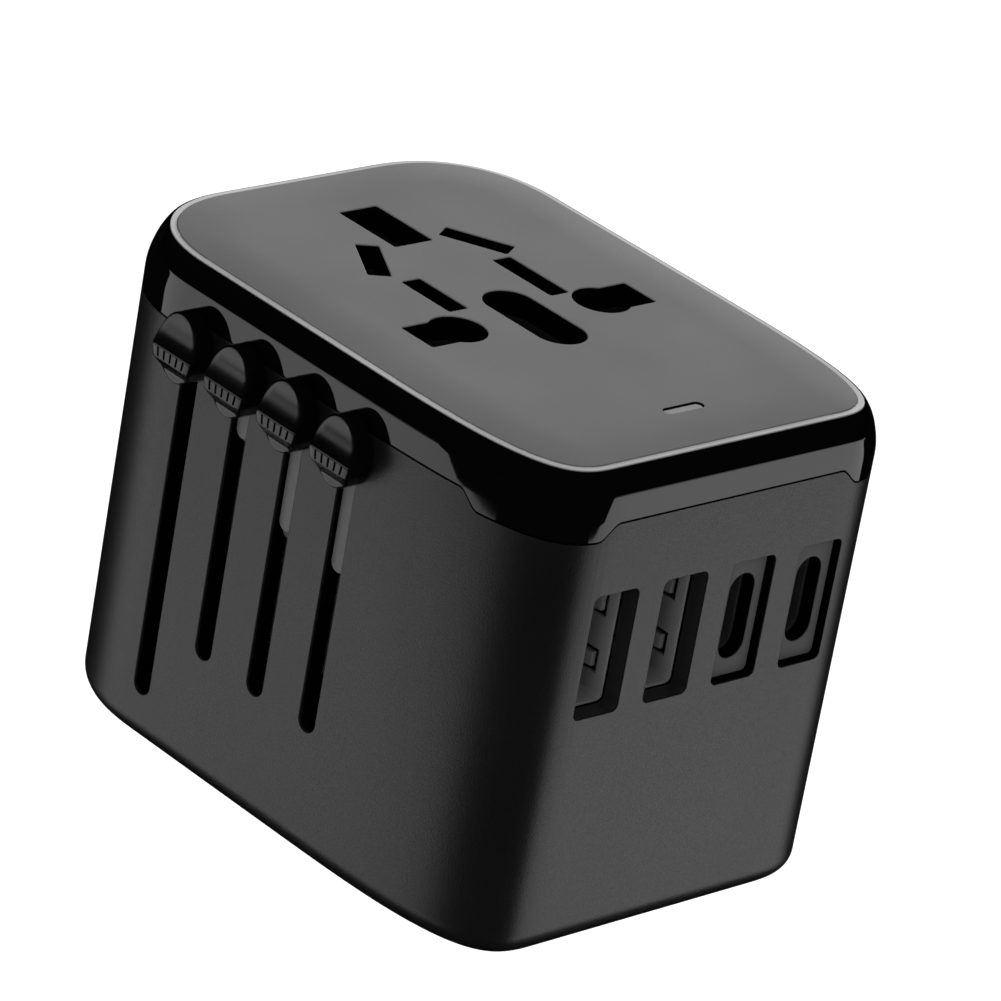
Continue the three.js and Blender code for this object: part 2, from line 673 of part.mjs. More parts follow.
function euSleeve(side) {
  const bottom = EU_TIP + EU_PIN.bare + GAP;
  const top = EU_CARRIER_BOTTOM - GAP;
  const inner = 1.4;
  const outer = EU_PIN.sleeveRadius;
  return turned([[inner, bottom], [outer, bottom], [outer, top], [inner, top], [inner, bottom]], side);
}

// Straight pin whose four lower edges are chamfered.
function bladedPin(place, y, chamfer) {
  const top = pinTop('uk');
  const tip = TRAVEL.uk - place.reach;
  const side = (centre, size, slope) => polygon([
    [centre - size / 2, top], [centre - size / 2, tip + 2 * slope], [centre - size / 2 + slope, tip],
    [centre + size / 2 - slope, tip], [centre + size / 2, tip + 2 * slope], [centre + size / 2, top],
  ]);
  const length = prism(side(place.x, place.along, chamfer), 'y', around(y, place.across));
  return length.intersect(prism(side(y, place.across, chamfer), 'x', around(place.x, place.along)));
}

// Flat blade with clipped tip corners and the round hole near its tip.
function usBlade(side) {
  const tip = TRAVEL.us - US_PIN.reach;
  const half = US_PIN.along / 2;
  const clip = 1.7;
  const { x } = US_PIN;
  const top = pinTop('us');
  const face = polygon([
    [x - half, top], [x - half, tip + clip], [x - half + clip, tip],
    [x + half - clip, tip], [x + half, tip + clip], [x + half, top],
  ]);
  const y = side * US_HALF_SPACING;
  const blade = prism(face, 'y', around(y, US_PIN.thickness));
  return blade.subtract(prism(disc(x, tip + 4.6, 1.5), 'y', around(y, 4), 5));
}

function auBlade(side) {
  const plan = auBladeShape(side, AU_PIN.along, AU_PIN.thickness);
  const z = [TRAVEL.au - AU_PIN.reach, pinTop('au')];
  return prism(plan(AU_PIN.x, side * AU_HALF_SPACING), 'z', z);
}

function euIsland() {
  const block = prism(islandShape(0), 'z', [0, ISLAND.height]);
  const holes = [-1, 1].map((side) => (
    prism(disc(EU_PIN.x, side * EURO_HALF_SPACING, EU_PIN.radius + 0.45), 'z', [-1, 30], 10)
  ));
  return cut(block, ...holes);
}

// ---- Assembly --------------------------------------------------------------------------------

const adapter = new THREE.Group();
adapter.position.y = KNOB.ridge / 2;

function addPiece(name, solid, material) {
  const mesh = new THREE.Mesh(geometryOf(solid), material);
  mesh.name = name;
  adapter.add(mesh);
}

addPiece('main_casing', mainCasing(), MATTE_BLACK);
addPiece('gloss_collar', glossCollar(), GLOSS_BLACK);
addPiece('socket_face_plate', socketFacePlate(), PLATE_GREY);
addPiece('contact_deck', contactDeck(), INNER_BLACK);
addPiece('led_light_pipe', prism(lightPipeShape(0), 'z', [44.0, HEIGHT - 0.1], 4), LIGHT_PIPE);
addPiece('line_contact', mainsContact(-1), BRASS);
addPiece('neutral_contact', mainsContact(1), BRASS);
DECK_POSTS.forEach((place, i) => addPiece(`deck_screw_${i + 1}`, deckScrew(place), STEEL));

for (const index of [0, 1]) {
  addPiece(`usb_a_shell_${index + 1}`, usbAShell(index), NICKEL);
  addPiece(`usb_a_tongue_${index + 1}`, usbATongue(index), INNER_BLACK);
}
for (const index of [2, 3]) {
  addPiece(`usb_c_bezel_${index - 1}`, usbCBezel(index), MATTE_BLACK);
  addPiece(`usb_c_shell_${index - 1}`, usbCShell(index), NICKEL);
  addPiece(`usb_c_tongue_${index - 1}`, usbCTongue(index), INNER_BLACK);
}
addPiece('charger_board', chargerBoard(), BOARD_GREEN);
addPiece('transformer', transformer(), FERRITE);
addPiece('mains_capacitor', capacitor(5.6, 11.5, 5.0, 12.5), CAPACITOR_SLEEVE);
addPiece('output_capacitor', capacitor(14.2, 12.0, 3.1, 9.5), CAPACITOR_SLEEVE);

addPiece('fuse_holder', fuseHolder(), INNER_BLACK);
addPiece('fuse_cap', fuseCap(), KNOB_BLACK);
addPiece('fuse', cartridge('z', [FUSE.x, 0], [FUSE.bottom, FUSE.bottom + FUSE.length]), CERAMIC);
addPiece('spare_fuse_drawer', spareFuseDrawer(), MATTE_BLACK);
const spareX = (DRAWER.x[0] + DRAWER.x[1]) / 2;
addPiece('spare_fuse', cartridge('x', [DRAWER.y + 3.6, 4.1], around(spareX, FUSE.length)), CERAMIC);

['eu', 'uk', 'us', 'au'].forEach((plug, index) => {
  const carriers = [euCarrier, ukCarrier, usCarrier, auCarrier];
  addPiece(`${plug}_knob`, knob(index), KNOB_BLACK);
  addPiece(`${plug}_carrier`, carriers[index](), INNER_BLACK);
});
addPiece('eu_island', euIsland(), MATTE_BLACK);
[-1, 1].forEach((side, i) => {
  addPiece(`eu_pin_${i + 1}`, euPin(side), NICKEL);
  addPiece(`eu_sleeve_${i + 1}`, euSleeve(side), INNER_BLACK);
  addPiece(`us_blade_${i + 1}`, usBlade(side), NICKEL);
  addPiece(`au_blade_${i + 1}`, auBlade(side), NICKEL);
});
addPiece('uk_pin_line', bladedPin(UK_PIN, -UK_PIN.halfSpacing, 0.7), NICKEL);
addPiece('uk_pin_neutral', bladedPin(UK_PIN, UK_PIN.halfSpacing, 0.7), NICKEL);
addPiece('uk_pin_earth', bladedPin(UK_EARTH, 0, 0.8), INNER_BLACK);

export default adapter;
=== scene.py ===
"""Universal travel adapter: the detailed visual model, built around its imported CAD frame.

Shapes are worked out in millimetres in the body frame, which is centred on the body in X and Y
with Z up from the base face. place() then turns them into metres in the row frame. +X points to
the USB end, -Y is the face with the sliders. Every slider is drawn at rest, at the top of its slot.
"""

import json
import math

import bmesh
import bpy
import numpy as np
from mathutils import Matrix, Quaternion, Vector

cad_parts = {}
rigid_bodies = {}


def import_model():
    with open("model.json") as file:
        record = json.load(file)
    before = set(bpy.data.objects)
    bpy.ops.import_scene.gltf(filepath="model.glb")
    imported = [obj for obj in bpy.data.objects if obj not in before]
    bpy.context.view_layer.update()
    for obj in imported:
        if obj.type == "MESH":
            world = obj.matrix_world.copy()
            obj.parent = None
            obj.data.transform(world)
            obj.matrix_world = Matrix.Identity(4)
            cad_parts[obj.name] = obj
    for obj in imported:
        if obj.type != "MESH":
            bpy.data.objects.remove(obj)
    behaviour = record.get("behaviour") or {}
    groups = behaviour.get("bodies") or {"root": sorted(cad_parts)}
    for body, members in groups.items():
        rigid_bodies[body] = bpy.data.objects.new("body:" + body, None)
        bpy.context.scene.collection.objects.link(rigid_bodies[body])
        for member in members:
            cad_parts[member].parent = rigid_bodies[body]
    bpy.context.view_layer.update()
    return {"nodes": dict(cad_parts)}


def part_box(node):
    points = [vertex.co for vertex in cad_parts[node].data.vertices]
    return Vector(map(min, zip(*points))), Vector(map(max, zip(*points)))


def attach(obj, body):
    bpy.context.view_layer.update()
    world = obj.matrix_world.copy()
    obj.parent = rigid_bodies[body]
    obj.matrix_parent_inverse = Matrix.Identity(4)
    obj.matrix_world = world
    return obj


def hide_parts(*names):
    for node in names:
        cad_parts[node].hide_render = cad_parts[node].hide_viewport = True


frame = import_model()

# ---- Dimensions, in millimetres ---------------------------------------------------------------

MM = 0.001


def span(node, axis):
    """Lowest and highest place of a CAD node on an axis, in millimetres in the row frame."""
    low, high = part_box(node)
    return low[axis] / MM, high[axis] / MM


CASING_Y = span("main_casing", 1)
SHIFT_Y = sum(CASING_Y) / 2            # from the body frame to the row frame
BODY_X = span("main_casing", 0)[1]
BODY_Y = (CASING_Y[1] - CASING_Y[0]) / 2
HEIGHT = span("socket_face_plate", 2)[1]
PARTING_SIDE = span("main_casing", 2)[1]

BODY_OFFSET = 1.7                      # the body stands this far outside the plate's rim
RIM_X = BODY_X - BODY_OFFSET
RIM_Y = BODY_Y - BODY_OFFSET
USB_CORNER = (30.6, 9.3, 3.6)          # superellipse: along X, across Y, power
FAR_CORNER = (13.5, 13.2, 2.3)
WALL = 2.0
FLOOR = 1.8
GAP = 0.3
SEAM = 0.18                            # gap between two pieces whose faces lie flush
BASE_FILLET = 3.1
PARTING_DROP = 1.7                     # the parting line steps down by this at the corners
CORNER_STEP_X = (-17.5, 22.0)          # where it starts to step down
CORNER_STEP_Y = (-14.6, 14.6)
CORNER_STEP_RUN = 2.6
CORNER_LEAN_FROM = PARTING_SIDE + 0.2  # the corners above the parting line lean in from here
COLLAR_ROUND = 2.13                    # height of the rounded upper part of the gloss band
COLLAR_CREASE = 0.5                    # radius of the bend where that part starts
COLLAR_LEAN = (math.radians(18), math.radians(57))   # its lean after the bend and at its top
COLLAR_LOW = 0.12                      # how far its top lies below the plate's rim
CROWN_DROP = 0.43                      # the plate's edge lies this much lower than its middle
CROWN_REACH = 6.5                      # and curves down over this distance

LINE_X = 3.2
EARTH_X = LINE_X - 22.23
EURO_Y = 9.5
US_Y = 6.35
AU_Y = 6.85
AU_TILT = math.radians(30)
SOCKET_OUTER_Y = 14.8
SOCKET_EARTH = (8.9, 5.0)              # sizes of the socket's holes, along X and across
SOCKET_CENTRE = (13.0, 5.6)
SOCKET_UK_WIDTH = 4.8
SOCKET_EURO_RADIUS = 3.0
SOCKET_US = (7.45, 9.0, 2.45)          # length at -Y, length at +Y, width
SOCKET_AU = (7.4, 2.45)
LED_SIZE = (1.3, 5.0)

SLIDERS = ("eu", "uk", "us", "au")
SLIDER_X = [sum(span(f"{plug}_knob", 0)) / 2 for plug in SLIDERS]
SLOT_WIDTH = 2.25
SLOT_BOTTOM = (5.9, 13.8, 13.8, 13.8)
KNOB_Z = sum(span("eu_knob", 2)) / 2
KNOB_HALF_WIDTH = 3.1
KNOB_HALF_HEIGHT = 3.75

PORT_Z = sum(span("usb_c_bezel_1", 2)) / 2
PORT_Y = [
    sum(span(node, 1)) / 2 - SHIFT_Y
    for node in ("usb_a_shell_1", "usb_a_shell_2", "usb_c_bezel_1", "usb_c_bezel_2")
]
PORT_WIDTH = 5.7
PORT_HEIGHT = 13.2
USB_A_SHELL = (5.9, 13.3, 0.35)        # width, height and sheet thickness
USB_C_HOLE = (3.4, 9.25)
SHELL_MOUTH_X = span("usb_a_shell_1", 0)[1]
BOARD_FRONT_X = span("charger_board", 0)[1]

EU_X = sum(span("eu_pin_1", 0)) / 2
ISLAND_HEIGHT = span("eu_island", 2)[1]
UK_X = sum(span("uk_pin_line", 0)) / 2
UK_Y = 11.1
UK_EARTH_X = sum(span("uk_pin_earth", 0)) / 2
US_X = sum(span("us_blade_1", 0)) / 2
AU_X = sum(span("au_blade_1", 0)) / 2
FUSE_X = sum(span("fuse_cap", 0)) / 2
FUSE_CAP_RADIUS = 4.75
UK_EARTH_HOLE = (8.8, 4.8)             # sizes of the holes in the base, along X and across
UK_HOLE = (4.8, 7.15)
US_HOLE = (6.9, 2.2)
AU_HOLE = (7.05, 2.3)
DRAWER_X = span("spare_fuse_drawer", 0)
DRAWER_Y = 17.0
DRAWER_TOP = span("spare_fuse_drawer", 2)[1]

CORNER_STEPS = 40                      # points of a body corner
ARC_STEPS = 10                         # points of a quarter circle in an outline

# ---- Outlines: each is a function of an outward offset that returns points --------------------


def body_outline(offset, corner_offset=None):
    """The body's outline at an offset from the plate's rim, with another one at its corners."""
    angle = np.linspace(0, math.pi / 2, CORNER_STEPS + 1)
    cos, sin = np.cos(angle).clip(0), np.sin(angle)

    def quarter(corner, side_x, side_y, forwards):
        along, across, power = corner
        reach = offset
        if corner_offset is not None:
            normal_x = cos ** (2 - 2 / power) / along
            normal_y = sin ** (2 - 2 / power) / across
            slant = 2 * normal_x * normal_y / (normal_x ** 2 + normal_y ** 2)
            reach = offset + (corner_offset - offset) * slant ** 1.5
        x = RIM_X - along + (along + reach) * cos ** (2 / power)
        y = RIM_Y - across + (across + reach) * sin ** (2 / power)
        points = np.stack([side_x * x, side_y * y], axis=1)
        return points if forwards else points[::-1]

    return np.concatenate([
        quarter(USB_CORNER, 1, 1, True),
        quarter(FAR_CORNER, -1, 1, False),
        quarter(FAR_CORNER, -1, -1, True),
        quarter(USB_CORNER, 1, -1, False),
    ])


def rounded(corners, radius, steps=ARC_STEPS):
    """A convex polygon, given anticlockwise, whose corners are rounded."""
    corners = [Vector(c) for c in corners]
    arcs = []
    for i, corner in enumerate(corners):
        before = (corner - corners[i - 1]).normalized()
        after = (corners[(i + 1) % len(corners)] - corner).normalized()
        start = math.atan2(-before.x, before.y)
        turn = math.atan2(before.cross(after), before.dot(after))
        middle = Vector((before.y + after.y, -before.x - after.x)).normalized()
        centre = corner - middle * (radius / math.cos(turn / 2))
        angles = start + np.linspace(0, turn, steps + 1)
        arcs.append((centre, angles))

    def outline(offset):
        reach = radius + offset
        return np.concatenate([
            np.stack([c.x + reach * np.cos(a), c.y + reach * np.sin(a)], axis=1)
            for c, a in arcs
        ])

    return outline


def rectangle(u, v, width, height, radius=0.25, steps=ARC_STEPS, turn=0.0):
    """A rounded rectangle round a centre, turned about it."""
    half = ((-1, -1), (1, -1), (1, 1), (-1, 1))
    cos, sin = math.cos(turn), math.sin(turn)
    corners = []
    for i, j in half:
        a, b = i * width / 2, j * height / 2
        corners.append((u + a * cos - b * sin, v + a * sin + b * cos))
    return rounded(corners, radius, steps)


def obround(u, v, width, height, steps=16):
    return rectangle(u, v, width, height, 0.499 * min(width, height), steps)


def circle(u, v, radius, count=64):
    angle = np.linspace(0, 2 * math.pi, count, endpoint=False)

    def outline(offset):
        reach = radius + offset
        return np.stack([u + reach * np.cos(angle), v + reach * np.sin(angle)], axis=1)

    return outline


# ---- Solids -----------------------------------------------------------------------------------

AXES = {"x": (2, 0, 1), "y": (0, 2, 1), "z": (0, 1, 2)}   # which of (u, v, height) is X, Y and Z
MATERIAL_SLOTS = 3                     # outer faces, recesses with painted shade, and a third finish of a piece's own
RECESS_SHADE_SLOT = 1
THIRD_SLOT = 2


def solid(name, points, faces):
    mesh = bpy.data.meshes.new(name)
    mesh.from_pydata([tuple(p) for p in points], [], faces)
    for _ in range(MATERIAL_SLOTS):
        mesh.materials.append(None)
    work = bmesh.new()
    work.from_mesh(mesh)
    bmesh.ops.recalc_face_normals(work, faces=work.faces)
    work.to_mesh(mesh)
    work.free()
    obj = bpy.data.objects.new(name, mesh)
    bpy.context.scene.collection.objects.link(obj)
    return obj


def loft(name, outline, layers, axis="z"):
    """A closed solid through copies of an outline, each layer given as (height, offset)."""
    rings = []
    for height, offset in layers:
        flat = outline(offset)
        ring = np.column_stack([flat, np.full(len(flat), height)])
        rings.append(ring[:, AXES[axis]])
    count = len(rings[0])
    faces = [list(range(count))]
    for layer in range(len(rings) - 1):
        a, b = layer * count, (layer + 1) * count
        faces += [(a + i, a + (i + 1) % count, b + (i + 1) % count, b + i) for i in range(count)]
    faces.append([(len(rings) - 1) * count + i for i in range(count)])
    return solid(name, np.concatenate(rings), faces)


def prism(name, outline, axis, low, high, offset=0.0):
    return loft(name, outline, [(low, offset), (high, offset)], axis)


def block(name, x, y, z):
    """A plain box between limits, for cutting."""
    points = [(i, j, k) for k in z for j in y for i in x]
    faces = [(0, 1, 3, 2), (4, 6, 7, 5), (0, 4, 5, 1), (2, 3, 7, 6), (0, 2, 6, 4), (1, 5, 7, 3)]
    return solid(name, points, faces)


def rounded_ends(low, high, radius, steps=5, offset=0.0):
    """Layers of a prism whose two end edges are rounded."""
    layers = []
    for step in range(steps + 1):
        angle = step / steps * math.pi / 2
        layers.append((low + radius * (1 - math.sin(angle)), offset - radius * (1 - math.cos(angle))))
    layers = layers[::-1] if layers[0][0] > layers[-1][0] else layers
    inset = [(low + high - height, off) for height, off in reversed(layers)]
    return layers + inset


def turned(name, profile, centre, count=64):
    """A solid of revolution about a vertical line, from a closed or axis-to-axis profile (r, z)."""
    angle = np.linspace(0, 2 * math.pi, count, endpoint=False)
    rings = [
        np.column_stack([
            centre[0] + max(r, 1e-4) * np.cos(angle),
            centre[1] + max(r, 1e-4) * np.sin(angle),
            np.full(count, z),
        ])
        for r, z in profile
    ]
    faces = []
    closed = profile[0] == profile[-1]
    if closed:
        rings = rings[:-1]
    pairs = len(rings) if closed else len(rings) - 1
    for layer in range(pairs):
        a, b = layer * count, (layer + 1) % len(rings) * count
        faces += [(a + i, a + (i + 1) % count, b + (i + 1) % count, b + i) for i in range(count)]
    if not closed:
        faces.append(list(range(count)))
        faces.append([(len(rings) - 1) * count + i for i in range(count)])
    return solid(name, np.concatenate(rings), faces)


def combine(target, operation, tools):
    """Boolean operations on a solid, applied to its mesh. The tools are removed."""
    for tool in tools:
        step = target.modifiers.new("combine", "BOOLEAN")
        step.operation = operation
        step.solver = "EXACT"
        step.object = tool
    graph = bpy.context.evaluated_depsgraph_get()
    mesh = bpy.data.meshes.new_from_object(target.evaluated_get(graph), depsgraph=graph)
    target.modifiers.clear()
    target.data = mesh
    for tool in tools:
        bpy.data.objects.remove(tool)
    return target


def cut(target, *tools):
    return combine(target, "DIFFERENCE", tools)


def join(target, *tools):
    return combine(target, "UNION", tools)


def common(target, *tools):
    return combine(target, "INTERSECT", tools)


def recess(tool, skipped=0, finish=RECESS_SHADE_SLOT):
    """Marks the faces that a cutter leaves with a material slot (by default painted shade), apart from
    its first ones.
    """
    for face in tool.data.polygons:
        face.material_index = 0 if face.index < skipped else finish
    return tool


def opening(outline, axis, face, depth, lip, outwards=1, finish=RECESS_SHADE_SLOT):
    """A cutter that enters a face and leaves a rounded lip round its mouth.

    It starts 1 mm in front of the face and ends at the depth behind it. What it leaves behind
    the lip is a recess, painted in shade unless another finish is given."""
    steps = 4
    layers = [(face + outwards, lip), (face, lip)]
    for step in range(1, steps + 1):
        angle = step / steps * math.pi / 2
        layers.append((face - outwards * lip * (1 - math.cos(angle)), lip * (1 - math.sin(angle))))
    layers.append((face - outwards * depth, 0.0))
    before_shaft = 1 + (len(layers) - 2) * len(outline(0.0))
    return recess(loft("opening", outline, layers, axis), before_shaft, finish)


# ---- Materials --------------------------------------------------------------------------------


def nodes_of(name):
    material = bpy.data.materials.new(name)
    material.use_nodes = True
    tree = material.node_tree
    shader = tree.nodes["Principled BSDF"]
    place_in = tree.nodes.new("ShaderNodeTexCoord").outputs["Object"]
    return material, tree, shader, place_in


def noise(tree, vector, scale, detail=2.0, stretch=None):
    if stretch is not None:
        mapping = tree.nodes.new("ShaderNodeMapping")
        mapping.inputs["Scale"].default_value = stretch
        tree.links.new(vector, mapping.inputs["Vector"])
        vector = mapping.outputs["Vector"]
    node = tree.nodes.new("ShaderNodeTexNoise")
    node.inputs["Scale"].default_value = scale
    node.inputs["Detail"].default_value = detail
    tree.links.new(vector, node.inputs["Vector"])
    return node.outputs["Fac"]


def remap(tree, value, low, high, start=0.3, end=0.7):
    node = tree.nodes.new("ShaderNodeMapRange")
    node.inputs["From Min"].default_value = start
    node.inputs["From Max"].default_value = end
    node.inputs["To Min"].default_value = low
    node.inputs["To Max"].default_value = high
    tree.links.new(value, node.inputs["Value"])
    return node.outputs["Result"]


def blend(tree, factor, low, high):
    node = tree.nodes.new("ShaderNodeMix")
    node.data_type = "RGBA"
    node.inputs[6].default_value = (*low, 1)
    node.inputs[7].default_value = (*high, 1)
    tree.links.new(factor, node.inputs[0])
    return node.outputs[2]


def bump(tree, shader, height, distance, strength=1.0):
    node = tree.nodes.new("ShaderNodeBump")
    node.inputs["Distance"].default_value = distance
    node.inputs["Strength"].default_value = strength
    tree.links.new(height, node.inputs["Height"])
    tree.links.new(node.outputs["Normal"], shader.inputs["Normal"])


def plastic(name, grey, roughness, grain=0.00003, grain_scale=5200.0, spread=0.12, specular=0.5):
    """Moulded plastic: a fine spark-eroded texture with slow changes of tone and of gloss."""
    material, tree, shader, place_in = nodes_of(name)
    slow = noise(tree, place_in, 60.0, 3.0)
    grains = noise(tree, place_in, grain_scale, 2.0)
    low = [c * (1 - spread) for c in grey]
    high = [c * (1 + spread) for c in grey]
    tree.links.new(blend(tree, remap(tree, slow, 0, 1), low, high), shader.inputs["Base Color"])
    tree.links.new(
        remap(tree, grains, roughness - 0.05, roughness + 0.05), shader.inputs["Roughness"]
    )
    shader.inputs["Specular IOR Level"].default_value = specular
    bump(tree, shader, grains, grain, 0.5)
    return material


def gloss_plastic(name, grey, roughness):
    """Polished plastic, with faint wipe marks in the gloss."""
    material, tree, shader, place_in = nodes_of(name)
    marks = noise(tree, place_in, 90.0, 5.0, (1.0, 1.0, 3.0))
    tree.links.new(remap(tree, marks, roughness, roughness * 2.2), shader.inputs["Roughness"])
    slow = noise(tree, place_in, 25.0, 2.0)
    high = [c * 1.3 for c in grey]
    tree.links.new(blend(tree, remap(tree, slow, 0, 1), grey, high), shader.inputs["Base Color"])
    bump(tree, shader, noise(tree, place_in, 30.0, 1.0), 0.00001, 0.15)
    return material


def metal(name, color, roughness, stretch, scale=900.0, metallic=1.0):
    """Plated or rolled metal, with fine lines along one direction."""
    material, tree, shader, place_in = nodes_of(name)
    lines = noise(tree, place_in, scale, 3.0, stretch)
    stains = noise(tree, place_in, 120.0, 4.0)
    low = [c * 0.88 for c in color]
    tree.links.new(blend(tree, remap(tree, stains, 0, 1), low, color), shader.inputs["Base Color"])
    tree.links.new(
        remap(tree, lines, roughness * 0.7, roughness * 1.4), shader.inputs["Roughness"]
    )
    shader.inputs["Metallic"].default_value = metallic
    bump(tree, shader, lines, 0.000004, 0.6)
    return material


def circuit_board(name):
    """Green solder mask with raised tracks under it."""
    material, tree, shader, place_in = nodes_of(name)
    tracks = tree.nodes.new("ShaderNodeTexBrick")
    tracks.inputs["Scale"].default_value = 160.0
    tracks.inputs["Mortar Size"].default_value = 0.06
    tracks.inputs["Color1"].default_value = (0.02, 0.13, 0.05, 1)
    tracks.inputs["Color2"].default_value = (0.02, 0.10, 0.045, 1)
    tracks.inputs["Mortar"].default_value = (0.05, 0.24, 0.10, 1)
    turned_in = tree.nodes.new("ShaderNodeMapping")
    turned_in.inputs["Rotation"].default_value = (0, math.pi / 2, 0)
    tree.links.new(place_in, turned_in.inputs["Vector"])
    tree.links.new(turned_in.outputs["Vector"], tracks.inputs["Vector"])
    tree.links.new(tracks.outputs["Color"], shader.inputs["Base Color"])
    gloss = remap(tree, noise(tree, place_in, 700.0), 0.25, 0.45)
    tree.links.new(gloss, shader.inputs["Roughness"])
    bump(tree, shader, tracks.outputs["Fac"], 0.00003, 0.5)
    return material


def ceramic(name):
    """Fuse body of glazed ceramic, a little uneven in tone."""
    material, tree, shader, place_in = nodes_of(name)
    cloud = remap(tree, noise(tree, place_in, 400.0, 4.0), 0, 1)
    tone = blend(tree, cloud, (0.6, 0.57, 0.5), (0.75, 0.72, 0.65))
    tree.links.new(tone, shader.inputs["Base Color"])
    gloss = remap(tree, noise(tree, place_in, 2500.0), 0.35, 0.55)
    tree.links.new(gloss, shader.inputs["Roughness"])
    bump(tree, shader, noise(tree, place_in, 1500.0), 0.00001, 0.4)
    return material


def light_pipe(name):
    """Milky moulded light pipe."""
    material, tree, shader, place_in = nodes_of(name)
    cloud = noise(tree, place_in, 900.0, 3.0)
    tree.links.new(
        blend(tree, remap(tree, cloud, 0, 1), (0.23, 0.23, 0.232), (0.26, 0.26, 0.262)),
        shader.inputs["Base Color"],
    )
    tree.links.new(remap(tree, cloud, 0.3, 0.45), shader.inputs["Roughness"])
    shader.inputs["Subsurface Weight"].default_value = 0.15
    shader.inputs["Subsurface Scale"].default_value = 0.0005
    bump(tree, shader, cloud, 0.000005, 0.4)
    return material


CASING = plastic("casing_plastic", (0.004, 0.004, 0.0042), 0.34, specular=0.49)
PLATE = plastic("face_plate_plastic", (0.101, 0.101, 0.102), 0.5, grain=0.000008, spread=0.06)
# The plate's rim: a little glossier, and painted lighter as a highlight along the edge.
PLATE_EDGE_HIGHLIGHT = plastic("polished_edge_plastic", (0.3, 0.3, 0.302), 0.35, grain=0.000003)
GLOSS = gloss_plastic("gloss_black_plastic", (0.0008, 0.0008, 0.0009), 0.02)
KNOB = gloss_plastic("knob_plastic", (0.001, 0.001, 0.0011), 0.13)
# Walls of the USB-A openings: the casing's plastic painted as shade, a less deep shade than in the
# other recesses.
PORT_WALL_SHADE = plastic("port_wall_plastic", (0.012, 0.012, 0.0122), 0.5, specular=0.25)
BEZEL = plastic("bezel_plastic", (0.055, 0.055, 0.056), 0.6, specular=0.1)
# Near-black paint on the walls of slots, holes and openings and on the casing's inside: painted shade,
# darker than the casing's own plastic.
RECESS_SHADE = plastic("recess_plastic", (0.0008, 0.0008, 0.0008), 0.6, specular=0.06)
INNER = plastic("inner_plastic", (0.007, 0.007, 0.0072), 0.55)
# Lighter grey than the casing's plastic: painted light on the carriers and cover strips, which little
# light reaches inside the slots.
CARRIER_PAINTED_LIGHT = plastic("carrier_plastic", (0.05, 0.05, 0.051), 0.45)
STRIP_PAINTED_LIGHT = plastic("strip_plastic", (0.05, 0.05, 0.051), 0.45)
SHELL_METAL = metal("connector_metal", (0.3, 0.3, 0.305), 0.42, (1.0, 1.0, 12.0), metallic=0.6)
# A dark copy of the connector metal for the USB-C shells: painted shade deep inside the sockets.
SOCKET_METAL_SHADE = metal("dark_connector_metal", (0.06, 0.06, 0.062), 0.5, (1.0, 1.0, 12.0), metallic=0.6)
PIN_METAL = metal("pin_nickel", (0.72, 0.72, 0.71), 0.2, (14.0, 14.0, 1.0))
BRASS = metal("contact_brass", (0.62, 0.44, 0.18), 0.3, (1.0, 12.0, 12.0))
STEEL = metal("screw_steel", (0.45, 0.45, 0.46), 0.3, (10.0, 10.0, 1.0))
BOARD = circuit_board("circuit_board")
FERRITE = plastic("ferrite", (0.03, 0.03, 0.032), 0.75, grain=0.00006)
SLEEVE = plastic("capacitor_sleeve", (0.02, 0.03, 0.1), 0.25, grain=0.000004)
CERAMIC = ceramic("fuse_ceramic")
LIGHT_PIPE = light_pipe("light_pipe")

# ---- Placing a finished piece -----------------------------------------------------------------

SMOOTH_ANGLE = math.radians(33)
WELD_DISTANCE = 2e-3


def smooth(obj):
    """Smooth shading with sharp edges kept, and flat faces kept flat."""
    for face in obj.data.polygons:
        face.use_smooth = True
    obj.data.set_sharp_from_angle(angle=SMOOTH_ANGLE)
    weighted = obj.modifiers.new("weighted_normals", "WEIGHTED_NORMAL")
    weighted.keep_sharp = True
    weighted.weight = 60


def place(obj, name, body, materials, replaced):
    """Scales a solid to metres, moves it to the row frame and gives it its looks and its body.

    The materials are a list for the solid's slots, or one for a piece whose recesses take the painted
    shade."""
    work = bmesh.new()
    work.from_mesh(obj.data)
    bmesh.ops.remove_doubles(work, verts=work.verts, dist=WELD_DISTANCE)
    bmesh.ops.dissolve_degenerate(work, edges=work.edges, dist=WELD_DISTANCE)
    work.to_mesh(obj.data)
    work.free()
    move = Matrix.Translation((0, SHIFT_Y * MM, 0)) @ Matrix.Scale(MM, 4)
    obj.data.transform(move)
    obj.name = name
    obj.data.name = name
    finishes = materials if isinstance(materials, list) else [materials, RECESS_SHADE]
    for index, material in enumerate(finishes):
        obj.data.materials[index] = material
    while len(obj.data.materials) > len(finishes):
        obj.data.materials.pop()
    smooth(obj)
    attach(obj, body)
    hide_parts(*replaced)
    return obj


# ---- Housing ----------------------------------------------------------------------------------


def body_skin(top, steps=12):
    layers = []
    for step in range(steps + 1):
        angle = step / steps * math.pi / 2
        height = BASE_FILLET * (1 - math.cos(angle))
        layers.append((height, BODY_OFFSET - BASE_FILLET * (1 - math.sin(angle))))
    layers.append((top, BODY_OFFSET))
    return loft("skin", body_outline, layers)


def above_parting(lift):
    """The space above the parting line, which steps down round each corner in a soft S."""
    reach = 60.0
    high = PARTING_SIDE + lift
    steps = 12

    def side_profile(start, way):
        curve = []
        for step in range(steps + 1):
            part = step / steps
            ease = part * part * (3 - 2 * part)
            curve.append((start + way * CORNER_STEP_RUN * part, high - PARTING_DROP * ease))
        return curve + [(way * reach, high - PARTING_DROP), (way * reach, HEIGHT + 5)]

    def tool(axis, starts):
        points = np.array(side_profile(starts[0], -1)[::-1] + side_profile(starts[1], 1))
        return prism("parting", lambda offset: points, axis, -reach, reach)

    return common(tool("y", CORNER_STEP_X), tool("x", CORNER_STEP_Y))


